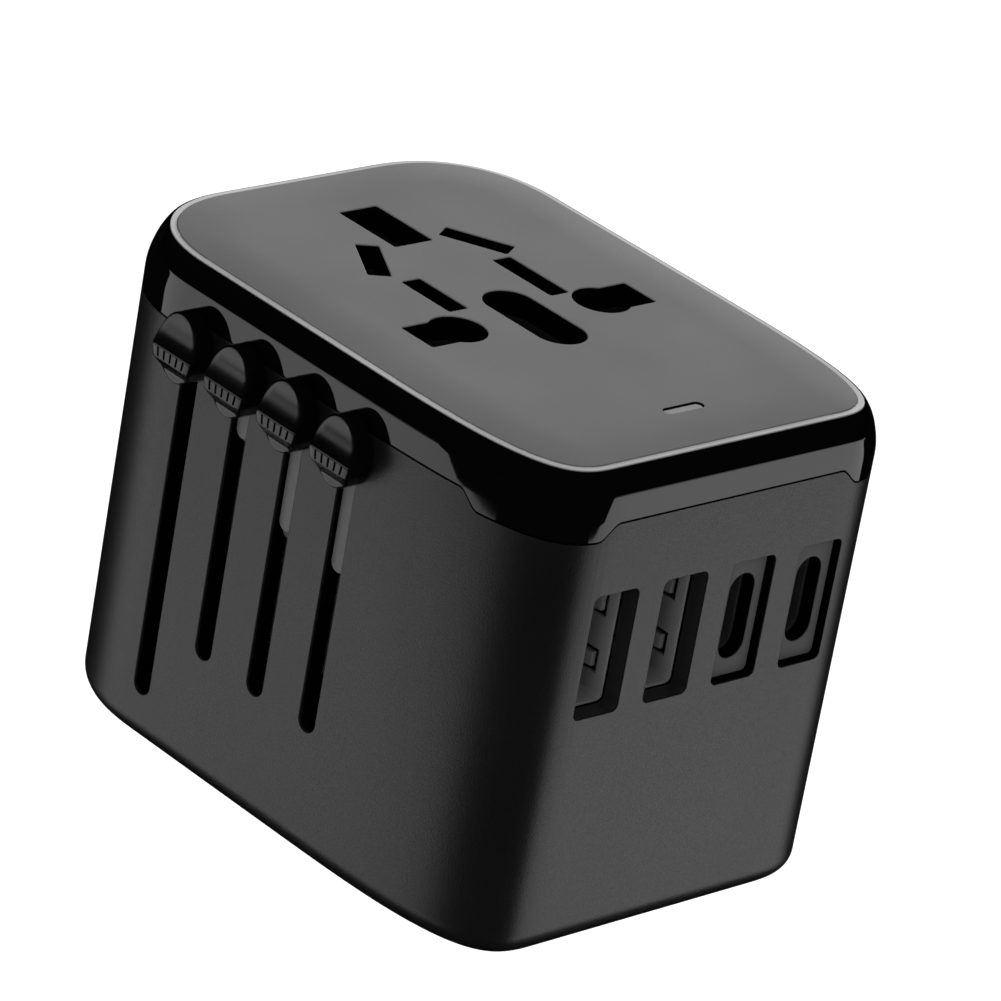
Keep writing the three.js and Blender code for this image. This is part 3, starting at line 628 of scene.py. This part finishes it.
def slider_slots():
    slots = []
    for x, bottom in zip(SLIDER_X, SLOT_BOTTOM):
        top = HEIGHT
        outline = obround(x, (bottom + top) / 2, SLOT_WIDTH, top - bottom)
        slots.append(opening(outline, "y", -BODY_Y, WALL + 0.6, 0.22, outwards=-1))
    return slots


def port_openings():
    """Cutters for the two USB-A and the two USB-C openings, whose walls get painted shade, lighter in
    the first two.
    """
    finishes = (THIRD_SLOT, THIRD_SLOT, RECESS_SHADE_SLOT, RECESS_SHADE_SLOT)
    cutters = []
    for y, finish in zip(PORT_Y, finishes):
        outline = rectangle(y, PORT_Z, PORT_WIDTH, PORT_HEIGHT, 0.7)
        cutters.append(opening(outline, "x", BODY_X, WALL + 1.3, 0.12, finish=finish))
    return cutters


def au_slot(side, x, along, thickness, radius):
    return rectangle(x, side * AU_Y, along, thickness, radius, 4, side * AU_TILT)


def island_outline():
    wide, long, tip, shoulder = 6.7, 17.2, 2.2, 12.0
    return rounded([
        (EU_X + wide, -shoulder), (EU_X + wide, shoulder), (EU_X + tip, long),
        (EU_X - tip, long), (EU_X - wide, shoulder), (EU_X - wide, -shoulder),
        (EU_X - tip, -long), (EU_X + tip, -long),
    ], 2.0, 6)


def base_openings():
    """Cutters for the holes in the base, which enter it from below."""
    lip = 0.15

    def hole(outline):
        return opening(outline, "z", 0.0, FLOOR + 1, lip, outwards=-1)

    island = island_outline()
    holes = [hole(lambda offset: island(offset + SEAM))]
    holes.append(hole(circle(FUSE_X, 0, FUSE_CAP_RADIUS + SEAM)))
    holes.append(hole(rectangle(UK_EARTH_X, 0, *UK_EARTH_HOLE)))
    for side in (-1, 1):
        holes.append(hole(rectangle(UK_X, side * UK_Y, *UK_HOLE)))
        holes.append(hole(rectangle(US_X, side * US_Y, *US_HOLE)))
        holes.append(hole(au_slot(side, AU_X, *AU_HOLE, 0.25)))
    return holes


def thumb_dimple():
    """A shallow hollow in the base, beside the Europlug face."""
    ball = 3.4
    depth = 0.5
    profile = [(0.0, depth - 2 * ball)]
    steps = 24
    for step in range(1, steps):
        angle = step / steps * math.pi
        profile.append((ball * math.sin(angle), depth - ball - ball * math.cos(angle)))
    profile.append((0.0, depth))
    return turned("dimple", profile, (-26.0, -19.6), 48)


def drawer_box(grow):
    x = (DRAWER_X[0] - grow, DRAWER_X[1] + grow)
    return block("drawer", x, (DRAWER_Y - grow, BODY_Y + 5), (-1, DRAWER_TOP + grow))


def main_casing():
    casing = body_skin(HEIGHT - 2)
    # The casing's whole inside gets the recesses' painted shade.
    inside = recess(prism("inside", body_outline, "z", FLOOR, HEIGHT, BODY_OFFSET - WALL))
    cut(
        casing, inside, above_parting(0.0), *slider_slots(), *port_openings(),
        *base_openings(), drawer_box(SEAM), thumb_dimple(),
    )
    finishes = [CASING, RECESS_SHADE, PORT_WALL_SHADE]
    place(casing, "casing_shell", "housing", finishes, ["main_casing"])


def gloss_collar():
    """The band's upper part leans in at once and gets flatter, up to the plate's rim.

    Its corners lean in over the whole height of the band."""
    low = PARTING_SIDE - PARTING_DROP - 1
    top = HEIGHT - CROWN_DROP - COLLAR_LOW
    height, offset = top - COLLAR_ROUND, BODY_OFFSET
    layers = [(low, offset)]
    layers += [(level, offset) for level in np.linspace(CORNER_LEAN_FROM, height, 8)]
    first, last = COLLAR_LEAN
    radius = (COLLAR_ROUND - COLLAR_CREASE * math.sin(first)) / (math.sin(last) - math.sin(first))
    arcs = [(0.0, first, COLLAR_CREASE, 4), (first, last, radius, 14)]
    for start, end, bend, steps in arcs:
        for step in range(1, steps + 1):
            a = start + (end - start) * (step - 1) / steps
            b = start + (end - start) * step / steps
            height += bend * (math.sin(b) - math.sin(a))
            offset -= bend * (math.cos(a) - math.cos(b))
            layers.append((height, offset))
    pairs = []
    for level, side_offset in layers:
        part = max(0.0, (level - CORNER_LEAN_FROM) / (top - CORNER_LEAN_FROM))
        pairs.append((level, (side_offset, BODY_OFFSET - (BODY_OFFSET - offset) * part ** 2)))
    ring = loft("collar", lambda offsets: body_outline(*offsets), pairs)
    seat = loft("seat", body_outline, [(HEIGHT - 3.1, -0.02), (HEIGHT + 1, -0.02)])
    throat = loft("throat", body_outline, [(low - 1, -0.3), (HEIGHT + 1, -0.3)])
    cut(ring, seat, throat)
    common(ring, above_parting(GAP * 0.75))
    place(ring, "gloss_band", "housing", GLOSS, ["gloss_collar"])


def socket_openings(top, depth, lip):
    """Cutters for the socket's holes, which enter from above."""

    def hole(outline):
        return opening(outline, "z", top, depth, lip)

    holes = [
        hole(rectangle(EARTH_X, 0, *SOCKET_EARTH)),
        hole(obround(LINE_X + 0.65, 0, *SOCKET_CENTRE)),
    ]
    short, long, us_width = SOCKET_US
    for side in (-1, 1):
        middle = side * (EURO_Y + SOCKET_OUTER_Y) / 2
        holes.append(hole(circle(LINE_X, side * EURO_Y, SOCKET_EURO_RADIUS)))
        holes.append(hole(rectangle(LINE_X, middle, SOCKET_UK_WIDTH, SOCKET_OUTER_Y - EURO_Y)))
        length = long if side > 0 else short
        holes.append(hole(rectangle(LINE_X - 7.2, side * US_Y, length, us_width)))
        holes.append(hole(au_slot(side, LINE_X - 16.05, *SOCKET_AU, 0.2)))
    return holes


def led_outline(grow):
    x = sum(span("led_light_pipe", 0)) / 2
    return obround(x, 0, LED_SIZE[0] + 2 * grow, LED_SIZE[1] + 2 * grow)


def socket_face_plate():
    """The plate, crowned towards its edge, with a glossier rim painted lighter as a highlight, inside
    which a fine groove runs.
    """
    edge = 0.66
    bottom = span("socket_face_plate", 2)[0]
    border = [
        (0.12, 0.08), (0.05, 0.09), (0.02, 0.13), (0.09, edge), (0.12, edge + 0.02),
        (0.12, edge + 0.09), (0.0, edge + 0.14),
    ]
    border += [(0.0, inset) for inset in np.linspace(edge + 0.3, CROWN_REACH, 14)]
    layers = [(bottom, -0.08)]
    for lower, inset in border:
        crown = CROWN_DROP * max(0.0, 1 - inset / CROWN_REACH) ** 2
        layers.append((HEIGHT - lower - crown, -inset))
    plate = loft("plate", body_outline, layers)
    cut(
        plate, *socket_openings(HEIGHT, 4.0, 0.12),
        opening(led_outline(0.02), "z", HEIGHT, 4.0, 0.03),
    )
    finishes = [PLATE, RECESS_SHADE, PLATE_EDGE_HIGHLIGHT]
    place(plate, "socket_plate", "housing", finishes, ["socket_face_plate"])
    paint_rim_highlight(plate, body_outline(-edge - 0.055))


def paint_rim_highlight(plate, groove):
    """Gives the faces outside the fine groove the rim's material, a glossier plastic painted lighter
    as a highlight.
    """
    for face in plate.data.polygons:
        inside = point_inside(face.center.x / MM, face.center.y / MM - SHIFT_Y, groove)
        if not inside and face.material_index == 0:
            face.material_index = THIRD_SLOT


def point_inside(x, y, outline):
    """Whether a point lies inside a convex outline."""
    following = np.roll(outline, -1, axis=0)
    edge = following - outline
    to_point = np.array([x, y]) - outline
    return bool(np.all(edge[:, 0] * to_point[:, 1] - edge[:, 1] * to_point[:, 0] > -1e-6))


def led_light_pipe():
    low = span("led_light_pipe", 2)[0]
    pipe = loft("pipe", led_outline(0.0), [
        (low, -0.05), (HEIGHT - 0.30, -0.05), (HEIGHT - 0.24, -0.08), (HEIGHT - 0.2, -0.16),
    ])
    place(pipe, "led_window", "housing", LIGHT_PIPE, ["led_light_pipe"])


# ---- USB sockets ------------------------------------------------------------------------------


def usb_a_shell(index):
    """Folded shell with two spring fingers in each wide side, bent in a little."""
    y = PORT_Y[index]
    width, height, wall = USB_A_SHELL
    back = BOARD_FRONT_X + GAP
    outer = rectangle(y, PORT_Z, width, height, 0.7)
    inner = rectangle(y, PORT_Z, width - 2 * wall, height - 2 * wall, 0.4)
    shell = loft("shell", outer, [(back, 0), (SHELL_MOUTH_X - 0.08, 0), (SHELL_MOUTH_X, -0.08)], "x")
    tip = SHELL_MOUTH_X - 1.8
    root = tip - 6.0
    edge = 1.25
    slots = []
    fingers = []
    for z in (PORT_Z - 3.0, PORT_Z + 3.0):
        for side in (-1, 1):
            wall_y = y + side * (width - wall) / 2
            reach = (wall_y - 1.0, wall_y + 1.0)
            slots.append(block("slot", (tip - 0.02, tip + 0.65), reach, (z - edge, z + edge)))
            for part in (-1, 1):
                along = sorted((z + part * edge, z + part * (edge - 0.5)))
                slots.append(block("slot", (root, tip + 0.5), reach, along))
            fingers.append(spring_finger(wall_y, side, wall, root, tip - 0.05, z, edge - 0.52))
    cut(shell, prism("bore", inner, "x", back + wall, SHELL_MOUTH_X + 1), *slots)
    place(shell, f"usb_a_shell_{index + 1}_metal", "housing", SHELL_METAL,
          [f"usb_a_shell_{index + 1}"])
    for number, finger in enumerate(fingers):
        place(finger, f"usb_a_finger_{index + 1}_{number + 1}", "housing",
              SHELL_METAL, [])


def spring_finger(wall_y, side, thickness, root, tip, z, half_height):
    """A leaf that bends inwards from its root in the wall and back a little at its tip."""
    steps = 8
    bend, back, knee = 0.55, 1.6, 0.85
    points = []
    for step in range(steps + 1):
        part = step / steps
        x = root + (tip - root) * part
        lean = bend * min(part, knee) ** 2 - back * max(0.0, part - knee)
        middle = wall_y - side * lean
        for level in (z - half_height, z + half_height):
            points.append((x, middle - thickness * 0.4, level))
            points.append((x, middle + thickness * 0.4, level))
    faces = [(0, 1, 3, 2), tuple(4 * steps + i for i in (0, 2, 3, 1))]
    for step in range(steps):
        a, b = 4 * step, 4 * (step + 1)
        faces += [(a, a + 1, b + 1, b), (a + 2, b + 2, b + 3, a + 3), (a, b, b + 2, a + 2),
                  (a + 1, a + 3, b + 3, b + 1)]
    return solid("finger", points, faces)


def usb_a_tongue(index):
    """The tongue, off the middle as in every such socket, with its four contacts."""
    y = PORT_Y[index] - 1.33
    low, high = span("usb_a_tongue_1", 0)
    tongue = loft("tongue", rectangle(y, PORT_Z, 1.85, 11.1, 0.2), rounded_ends(low, high, 0.2), "x")
    place(tongue, f"usb_a_insert_{index + 1}", "housing", INNER,
          [f"usb_a_tongue_{index + 1}"])
    for number in range(4):
        outline = rectangle(y + 0.95, PORT_Z + (number - 1.5) * 2.3, 0.3, 1.0, 0.1, 4)
        strip = loft("contact", outline, rounded_ends(high - 8, high - 0.8, 0.08), "x")
        place(strip, f"usb_a_contact_{index + 1}_{number + 1}", "housing", BRASS, [])


def usb_c_socket(index):
    """Frame, metal shell and tongue of a USB-C socket."""
    y = PORT_Y[index]
    number = index - 1
    low, high = span("usb_c_bezel_1", 0)
    plate = rectangle(y, PORT_Z, PORT_WIDTH - 0.36, PORT_HEIGHT - 0.36, 0.6)
    bezel = loft("bezel", plate, [(low, 0), (high - 0.1, 0), (high - 0.03, -0.03), (high, -0.1)], "x")
    cut(bezel, opening(obround(y, PORT_Z, *USB_C_HOLE), "x", high, 2.0, 0.14))
    place(bezel, f"usb_c_frame_{number}", "housing", BEZEL, [f"usb_c_bezel_{number}"])
    back, mouth = span("usb_c_shell_1", 0)
    shell = prism("shell", obround(y, PORT_Z, 3.8, 9.6), "x", back, mouth)
    cut(shell, prism("bore", obround(y, PORT_Z, 3.1, 8.9), "x", back + 0.4, mouth + 1))
    place(shell, f"usb_c_metal_{number}", "housing", SOCKET_METAL_SHADE,
          [f"usb_c_shell_{number}"])
    root, tip = span("usb_c_tongue_1", 0)
    tongue = loft("tongue", rectangle(y, PORT_Z, 0.7, 6.6, 0.2), rounded_ends(root, tip, 0.15), "x")
    place(tongue, f"usb_c_insert_{number}", "housing", INNER,
          [f"usb_c_tongue_{number}"])


# ---- Sliders ----------------------------------------------------------------------------------

KNOB_BACK = 0.25                       # how far the knob's surfaces stand off the casing
KNOB_BASE = 2.15
KNOB_CREST = -span("eu_knob", 1)[0] + SHIFT_Y - BODY_Y
CREST = (-1.65, -0.4)                  # crest and chamfer, measured from the knob's middle
CHAMFER_LOW = -2.75
RAMP_TOP = 2.6
CREST_ROUND = 0.12
KNOB_RIM = 0.3                         # radius of its rounded outer edge
GROOVES = [(k - 2) * 0.32 for k in range(5)]   # across the crest, from -1 to 1
GROOVE_HALF_WIDTH = 0.05
GROOVE_FLANK = 0.03
GROOVE_DEPTH = 0.3
GROOVE_MARGIN = 0.16


def knob_profile(v):
    """How far the knob's front stands off the casing at a height from its middle."""
    low, high = CREST
    if v >= RAMP_TOP:
        return KNOB_BASE
    if v > high:
        run = RAMP_TOP - high
        rise = KNOB_CREST - KNOB_BASE
        radius = (run * run + rise * rise) / (2 * rise)
        return KNOB_BASE + radius - math.sqrt(radius * radius - (RAMP_TOP - v) ** 2)
    if v >= low:
        return KNOB_CREST
    if v >= CHAMFER_LOW:
        return KNOB_BASE + (KNOB_CREST - KNOB_BASE) * (v - CHAMFER_LOW) / (low - CHAMFER_LOW)
    return KNOB_BASE


def knob_rows():
    """Heights of the knob's rows of points, close together where its shape changes."""
    low, high = CREST
    hair = 0.035
    b = KNOB_HALF_HEIGHT
    rows = [-b + b * part for part in (0.0004, 0.004, 0.012, 0.024, 0.04, 0.06, 0.09)]
    rows += [CHAMFER_LOW - 0.25, CHAMFER_LOW - hair, CHAMFER_LOW + hair, low - hair, low + hair]
    rows += [low + 0.07, low + GROOVE_MARGIN - 0.02, high - GROOVE_MARGIN + 0.02, high - 0.07]
    rows += list(np.linspace(low + GROOVE_MARGIN + 0.02, high - GROOVE_MARGIN - 0.02, 6))
    rows += [high - hair, high + hair]
    rows += list(np.linspace(high + 0.08, RAMP_TOP, 26))
    rows += list(np.linspace(RAMP_TOP + 0.2, b * 0.9, 4))
    rows += [b - b * part for part in (0.06, 0.04, 0.024, 0.012, 0.004, 0.0004)]
    return sorted(rows)


def knob_columns():
    """Places across the knob, from -1 to 1, with close ones at the grooves and at the rim."""
    columns = {-1.0, 1.0}
    for part in (0.003, 0.01, 0.02, 0.035, 0.055, 0.08):
        columns |= {1 - part, part - 1}
    for middle in GROOVES:
        for step in (-0.05, -0.034, -0.018, 0.018, 0.034, 0.05, -0.09, 0.09):
            columns.add(round(middle + step, 4))
    return sorted(columns)


def crest_rounding(v):
    """Takes the sharpness off the crest's two long edges."""
    low, high = CREST
    if not low <= v <= high:
        return 0.0
    inset = min(v - low, high - v)
    if inset >= CREST_ROUND:
        return 0.0
    return CREST_ROUND - math.sqrt(CREST_ROUND ** 2 - (CREST_ROUND - inset) ** 2)


def rim_rounding(u, v):
    """Rounds the edge of the knob's oval front."""
    a, b = KNOB_HALF_WIDTH, KNOB_HALF_HEIGHT
    level = math.hypot(u / a, v / b)
    if level <= 0.5:
        return 0.0
    slope = math.hypot(u / a ** 2, v / b ** 2) / level
    inset = max(0.0, (1 - level) / slope)
    if inset >= KNOB_RIM:
        return 0.0
    return KNOB_RIM - math.sqrt(KNOB_RIM ** 2 - (KNOB_RIM - inset) ** 2)


def knob_height(t, u, v):
    """How far a point of the knob's front stands off the casing, grooves and edges included."""
    height = knob_profile(v)
    if CREST[0] + GROOVE_MARGIN < v < CREST[1] - GROOVE_MARGIN:
        near = min(abs(t - middle) for middle in GROOVES)
        groove = min(1.0, max(0.0, (GROOVE_HALF_WIDTH - near) / GROOVE_FLANK))
        height -= groove * max(0.0, height - KNOB_CREST + GROOVE_DEPTH)
    return height - crest_rounding(v) - rim_rounding(u, v)


def knob(index):
    plug = SLIDERS[index]
    x = SLIDER_X[index]
    columns = knob_columns()
    front, back = [], []
    for v in knob_rows():
        half = KNOB_HALF_WIDTH * math.sqrt(1 - (v / KNOB_HALF_HEIGHT) ** 2)
        for t in columns:
            u = t * half
            front.append((x + u, -BODY_Y - knob_height(t, u, v), KNOB_Z + v))
            back.append((x + u, -BODY_Y - KNOB_BACK, KNOB_Z + v))
    piece = thick_sheet("knob", front, back, len(columns))
    stem = block("stem", (x - 1.15, x + 1.15), (-BODY_Y - 1.25, -BODY_Y), (KNOB_Z - 1.4, KNOB_Z + 2.4))
    cut(piece, stem)
    place(piece, f"{plug}_slider_button", f"{plug}_slider", KNOB, [f"{plug}_knob"])


def thick_sheet(name, front, back, wide):
    """A solid between a grid of points and a flat back, which keeps only its outer edge."""
    tall = len(front) // wide
    offset = len(front)
    faces = []
    for row in range(tall - 1):
        for column in range(wide - 1):
            i = row * wide + column
            faces.append((i, i + 1, i + wide + 1, i + wide))
    edge = list(range(wide))
    edge += [r * wide + wide - 1 for r in range(1, tall)]
    edge += [(tall - 1) * wide + c for c in range(wide - 2, -1, -1)]
    edge += [r * wide for r in range(tall - 2, 0, -1)]
    ring = {old: offset + k for k, old in enumerate(edge)}
    points = front + [back[old] for old in edge]
    for k, old in enumerate(edge):
        following = edge[(k + 1) % len(edge)]
        faces.append((old, ring[old], ring[following], following))
    faces.append([ring[old] for old in edge])
    return solid(name, points, faces)


STRIP_FRONT = 0.62                     # how far the slot's cover strip lies behind the casing
STRIP_WIDTH = 2.0
STRIP_END = (0.0, 24.2, 17.9, 17.3)    # height of its lower end above the slot's


def slot_strips():
    """The covers that follow the UK, US and AU sliders down inside their slots."""
    for index, plug in list(enumerate(SLIDERS))[1:]:
        low = SLOT_BOTTOM[index] + STRIP_END[index]
        x = SLIDER_X[index]
        outline = obround(x, (low + KNOB_Z) / 2, STRIP_WIDTH, KNOB_Z - low)
        front = -BODY_Y + STRIP_FRONT
        layers = [(front + 0.4, 0.0), (front + 0.04, 0.0), (front, -0.04)]
        strip = loft("strip", outline, layers, "y")
        # Their tone is painted light; the linked fill lamp lights them as well.
        place(strip, f"{plug}_slot_strip", f"{plug}_slider", STRIP_PAINTED_LIGHT, [])


# ---- Base -------------------------------------------------------------------------------------


def eu_island():
    island = loft("island", island_outline(), rounded_ends(0, ISLAND_HEIGHT, 0.18))
    holes = [
        opening(circle(EU_X, side * EURO_Y, 2.45, 48), "z", 0.0, 30.0, 0.15, outwards=-1)
        for side in (-1, 1)
    ]
    cut(island, *holes)
    place(island, "eu_plug_face", "eu_face", CASING, ["eu_island"])


def fuse_cap():
    """A round cap with a coin slot right across it and a small round mark."""
    low, high = span("fuse_cap", 2)
    cap = loft("cap", circle(FUSE_X, 0, FUSE_CAP_RADIUS, 96), rounded_ends(low, FLOOR, 0.15))
    join(cap, prism("boss", circle(FUSE_X, 0, 3.6), "z", FLOOR - 0.3, high))
    slot = opening(rectangle(FUSE_X, 0, 12.0, 1.5), "z", 0.0, 1.0, 0.1, outwards=-1)
    mark_outline = circle(FUSE_X, 0.9 - FUSE_CAP_RADIUS, 0.45, 24)
    mark = opening(mark_outline, "z", 0.0, 0.35, 0.05, outwards=-1)
    cut(cap, slot, mark)
    place(cap, "fuse_holder_cap", "fuse_cap_body", KNOB, ["fuse_cap"])


def spare_fuse_drawer():
    """The drawer: its outer face is part of the body's, with a notch for a finger nail."""
    x0, x1 = DRAWER_X
    face = common(body_skin(DRAWER_TOP), drawer_box(0.0))
    rails = [
        block("rail", x, (14.9, DRAWER_Y + 1), (FLOOR + GAP, DRAWER_TOP))
        for x in ((x0 + 0.001, x0 + 2), (x1 - 2, x1 - 0.001))
    ]
    join(face, *rails)
    pocket_y = (DRAWER_Y + 0.8, DRAWER_Y + 6.4)
    pocket = block("pocket", (x0 + 2, x1 - 2), pocket_y, (1.2, DRAWER_TOP + 1))
    nail = opening(rectangle((x0 + x1) / 2, 0.4, 6.0, 6.0, 1.5), "y", BODY_Y, 1.1, 0.12)
    cut(face, pocket, nail)
    place(face, "spare_fuse_tray", "fuse_drawer", CASING, ["spare_fuse_drawer"])


def eu_pins():
    """Round pins with a domed bare end and a plastic sleeve above it."""
    tip, top = span("eu_pin_1", 2)
    radius, core = 2.0, 1.1
    bare = 9.3
    dome = [(0.0, tip)]
    steps = 12
    for step in range(1, steps + 1):
        angle = step / steps * math.pi / 2
        dome.append((radius * math.sin(angle) ** 0.8, tip + 1.9 * (1 - math.cos(angle))))
    sleeve_low, sleeve_high = span("eu_sleeve_1", 2)
    for number, side in ((1, -1), (2, 1)):
        centre = (EU_X, side * EURO_Y)
        profile = dome + [
            (radius, tip + bare - 0.1), (radius - 0.1, tip + bare), (core, tip + bare),
            (core, top), (0.0, top),
        ]
        place(turned("pin", profile, centre), f"eu_round_pin_{number}", "eu_slider",
              PIN_METAL, [f"eu_pin_{number}"])
        sleeve = [
            (1.4, sleeve_low), (1.8, sleeve_low), (1.9, sleeve_low + 0.1), (1.9, sleeve_high),
            (1.4, sleeve_high), (1.4, sleeve_low),
        ]
        place(turned("sleeve", sleeve, centre), f"eu_pin_sleeve_{number}", "eu_slider",
              INNER, [f"eu_sleeve_{number}"])


# ---- CAD nodes that stay ----------------------------------------------------------------------

KEPT = {
    "contact_deck": INNER,
    "line_contact": BRASS,
    "neutral_contact": BRASS,
    "deck_screw_1": STEEL,
    "deck_screw_2": STEEL,
    "deck_screw_3": STEEL,
    "deck_screw_4": STEEL,
    "charger_board": BOARD,
    "transformer": FERRITE,
    "mains_capacitor": SLEEVE,
    "output_capacitor": SLEEVE,
    "fuse_holder": INNER,
    "fuse": CERAMIC,
    "spare_fuse": CERAMIC,
    "eu_carrier": CARRIER_PAINTED_LIGHT,
    "uk_carrier": CARRIER_PAINTED_LIGHT,
    "us_carrier": CARRIER_PAINTED_LIGHT,
    "au_carrier": CARRIER_PAINTED_LIGHT,
    "us_blade_1": PIN_METAL,
    "us_blade_2": PIN_METAL,
    "au_blade_1": PIN_METAL,
    "au_blade_2": PIN_METAL,
    "uk_pin_line": PIN_METAL,
    "uk_pin_neutral": PIN_METAL,
    "uk_pin_earth": INNER,
}


def finish_kept_nodes():
    """Gives the CAD nodes that stay their materials and softly broken edges."""
    for name, material in KEPT.items():
        node = frame["nodes"][name]
        node.data.materials.clear()
        node.data.materials.append(material)
        for face in node.data.polygons:
            face.use_smooth = True
        weld = node.modifiers.new("weld", "WELD")
        weld.merge_threshold = 1e-6
        edges = node.modifiers.new("edges", "BEVEL")
        edges.width = 0.12 * MM
        edges.segments = 3
        edges.limit_method = "ANGLE"
        edges.angle_limit = math.radians(35)
        edges.harden_normals = True


# ---- Stage ------------------------------------------------------------------------------------

CAMERA_TARGET = Vector((0.574, 4.680, 30.419)) * MM
CAMERA_DISTANCE = 629.78 * MM
CAMERA_AZIMUTH = 44.536
CAMERA_ELEVATION = 24.820
CAMERA_ROLL = 10.278
LENS = 226.34


def direction(azimuth, elevation):
    """Unit vector towards a place round the object: azimuth 0 is the -Y side, 90 the +X side."""
    a, e = math.radians(azimuth), math.radians(elevation)
    return Vector((math.sin(a) * math.cos(e), -math.cos(a) * math.cos(e), math.sin(e)))


def camera():
    data = bpy.data.cameras.new("camera")
    data.sensor_width = 36
    data.lens = LENS
    data.clip_start = 0.05
    data.clip_end = 20
    obj = bpy.data.objects.new("camera", data)
    bpy.context.scene.collection.objects.link(obj)
    back = direction(CAMERA_AZIMUTH, CAMERA_ELEVATION)
    obj.location = CAMERA_TARGET + back * CAMERA_DISTANCE
    obj.rotation_mode = "QUATERNION"
    upright = (-back).to_track_quat("-Z", "Y")
    obj.rotation_quaternion = upright @ Quaternion((0, 0, 1), math.radians(CAMERA_ROLL))
    bpy.context.scene.camera = obj


def softbox(name, place_at, aim, size, power, in_reflections=False):
    """A square soft light. The camera doesn't see it, and reflections show it only if asked."""
    data = bpy.data.lights.new(name, "AREA")
    data.size = size
    data.energy = power
    obj = bpy.data.objects.new(name, data)
    bpy.context.scene.collection.objects.link(obj)
    obj.location = place_at
    back = Vector(place_at) - Vector(aim)
    obj.rotation_mode = "QUATERNION"
    obj.rotation_quaternion = back.to_track_quat("Z", "Y")
    obj.visible_camera = False
    obj.visible_glossy = in_reflections
    return obj


def light_only(light, name, starts):
    """Keeps a light for the pieces and nodes whose names start in given ways."""
    lit = bpy.data.collections.new(name)
    for piece in bpy.data.objects:
        if piece.name.startswith(starts):
            lit.objects.link(piece)
    light.light_linking.receiver_collection = lit


def flat_material(name, colour, roughness=0.8, specular=0.5):
    """A stage panel's paint, faintly mottled."""
    material, tree, shader, place_in = nodes_of(name)
    low = [c * 0.97 for c in colour]
    speckle = noise(tree, place_in, 30.0, 3.0)
    tree.links.new(blend(tree, remap(tree, speckle, 0, 1), low, colour), shader.inputs["Base Color"])
    shader.inputs["Roughness"].default_value = roughness
    shader.inputs["Specular IOR Level"].default_value = specular
    return material


def card(name, points, material, seen_by_camera=False):
    """A flat stage panel. One that the camera doesn't see shapes reflections only."""
    mesh = bpy.data.meshes.new(name)
    mesh.from_pydata(points, [], [tuple(range(len(points)))])
    mesh.materials.append(material)
    obj = bpy.data.objects.new(name, mesh)
    bpy.context.scene.collection.objects.link(obj)
    if not seen_by_camera:
        obj.visible_camera = False
        obj.visible_diffuse = False
        obj.visible_shadow = False
        obj.visible_transmission = False
    return obj


FLOOR_Z = -90 * MM                     # low enough for the pins to come out above it

# Black cards lie on the floor where the sides' corners and lower edge look, in front, behind and
# below. Only reflections meet them, so the floor itself still looks plain.
FRONT_CARD = [
    (27, -23), (-62, -300), (-142, -281), (-400, -420), (-4500, -7500), (9000, -9000),
    (7500, 4500), (420, 400), (281, 159), (313, 65), (34, -18),
]
REAR_CARD = [(-34, -12), (-9000, -4500), (-9000, 9000), (3900, 9000), (34, 14)]
BASE_CARD = [(-110, -100), (110, -100), (110, 100), (-110, 100)]


def dark_cards():
    black = flat_material("black_card", (0.002, 0.002, 0.002))
    for index, outline in enumerate((FRONT_CARD, REAR_CARD, BASE_CARD)):
        z = FLOOR_Z + 0.1 * MM * (index + 1)
        points = [(x * MM, (y + SHIFT_Y) * MM, z) for x, y in outline]
        card(f"dark_card_{index + 1}", points, black)


def stage():
    """Floor, reflection cards, lights and world. The linked lights need the finished pieces."""
    pale = flat_material("pale_floor", (0.97, 0.97, 0.97), 1.0, 0.0)
    half = 4.0
    corners = [(-half, -half), (half, -half), (half, half), (-half, half)]
    card("floor", [(x, y, FLOOR_Z) for x, y in corners], pale, True)
    dark_cards()
    softbox("top_light", (0, 0, 1.5), (0, 0, 0), 3.0, 13.0)
    wash = Vector((0.26, 0.235, -0.03))
    softbox("right_floor_light", wash, wash - Vector((0, 0, 1)), 0.4, 0.2)
    fill = softbox("recess_light", (0.28, -0.42, 0.16), (0, 0, 0.03), 0.15, 0.75)
    light_only(fill, "lit_recesses", ("usb_a", "usb_c_insert", "uk_slot", "us_slot", "au_slot"))
    for name, x, y in (("left", -0.35, -0.5), ("right", 0.5, 0.35), ("rear", -0.5, 0.5)):
        side = softbox(f"pin_light_{name}", (x, y, -0.01), (0, 0, -0.01), 0.4, 2.0, True)
        light_only(side, f"lit_pins_{name}", ("eu_round", "us_blade", "au_blade", "uk_pin"))
    low = softbox("plate_light", direction(210, 9) * 0.8, (0, 0, 0.05), 0.15, 40.0)
    light_only(low, "lit_plate", ("socket_plate",))
    world = bpy.data.worlds.new("studio")
    world.use_nodes = True
    world.node_tree.nodes["Background"].inputs["Color"].default_value = (1, 1, 1, 1)
    world.node_tree.nodes["Background"].inputs["Strength"].default_value = 1.02
    bpy.context.scene.world = world
    world.cycles_visibility.glossy = False
    bpy.context.scene.view_settings.view_transform = "Standard"


# ---- Assembly ---------------------------------------------------------------------------------

camera()
main_casing()
gloss_collar()
socket_face_plate()
led_light_pipe()
for port in (0, 1):
    usb_a_shell(port)
    usb_a_tongue(port)
for port in (2, 3):
    usb_c_socket(port)
for slider in range(len(SLIDERS)):
    knob(slider)
slot_strips()
eu_island()
fuse_cap()
spare_fuse_drawer()
eu_pins()
finish_kept_nodes()
stage()
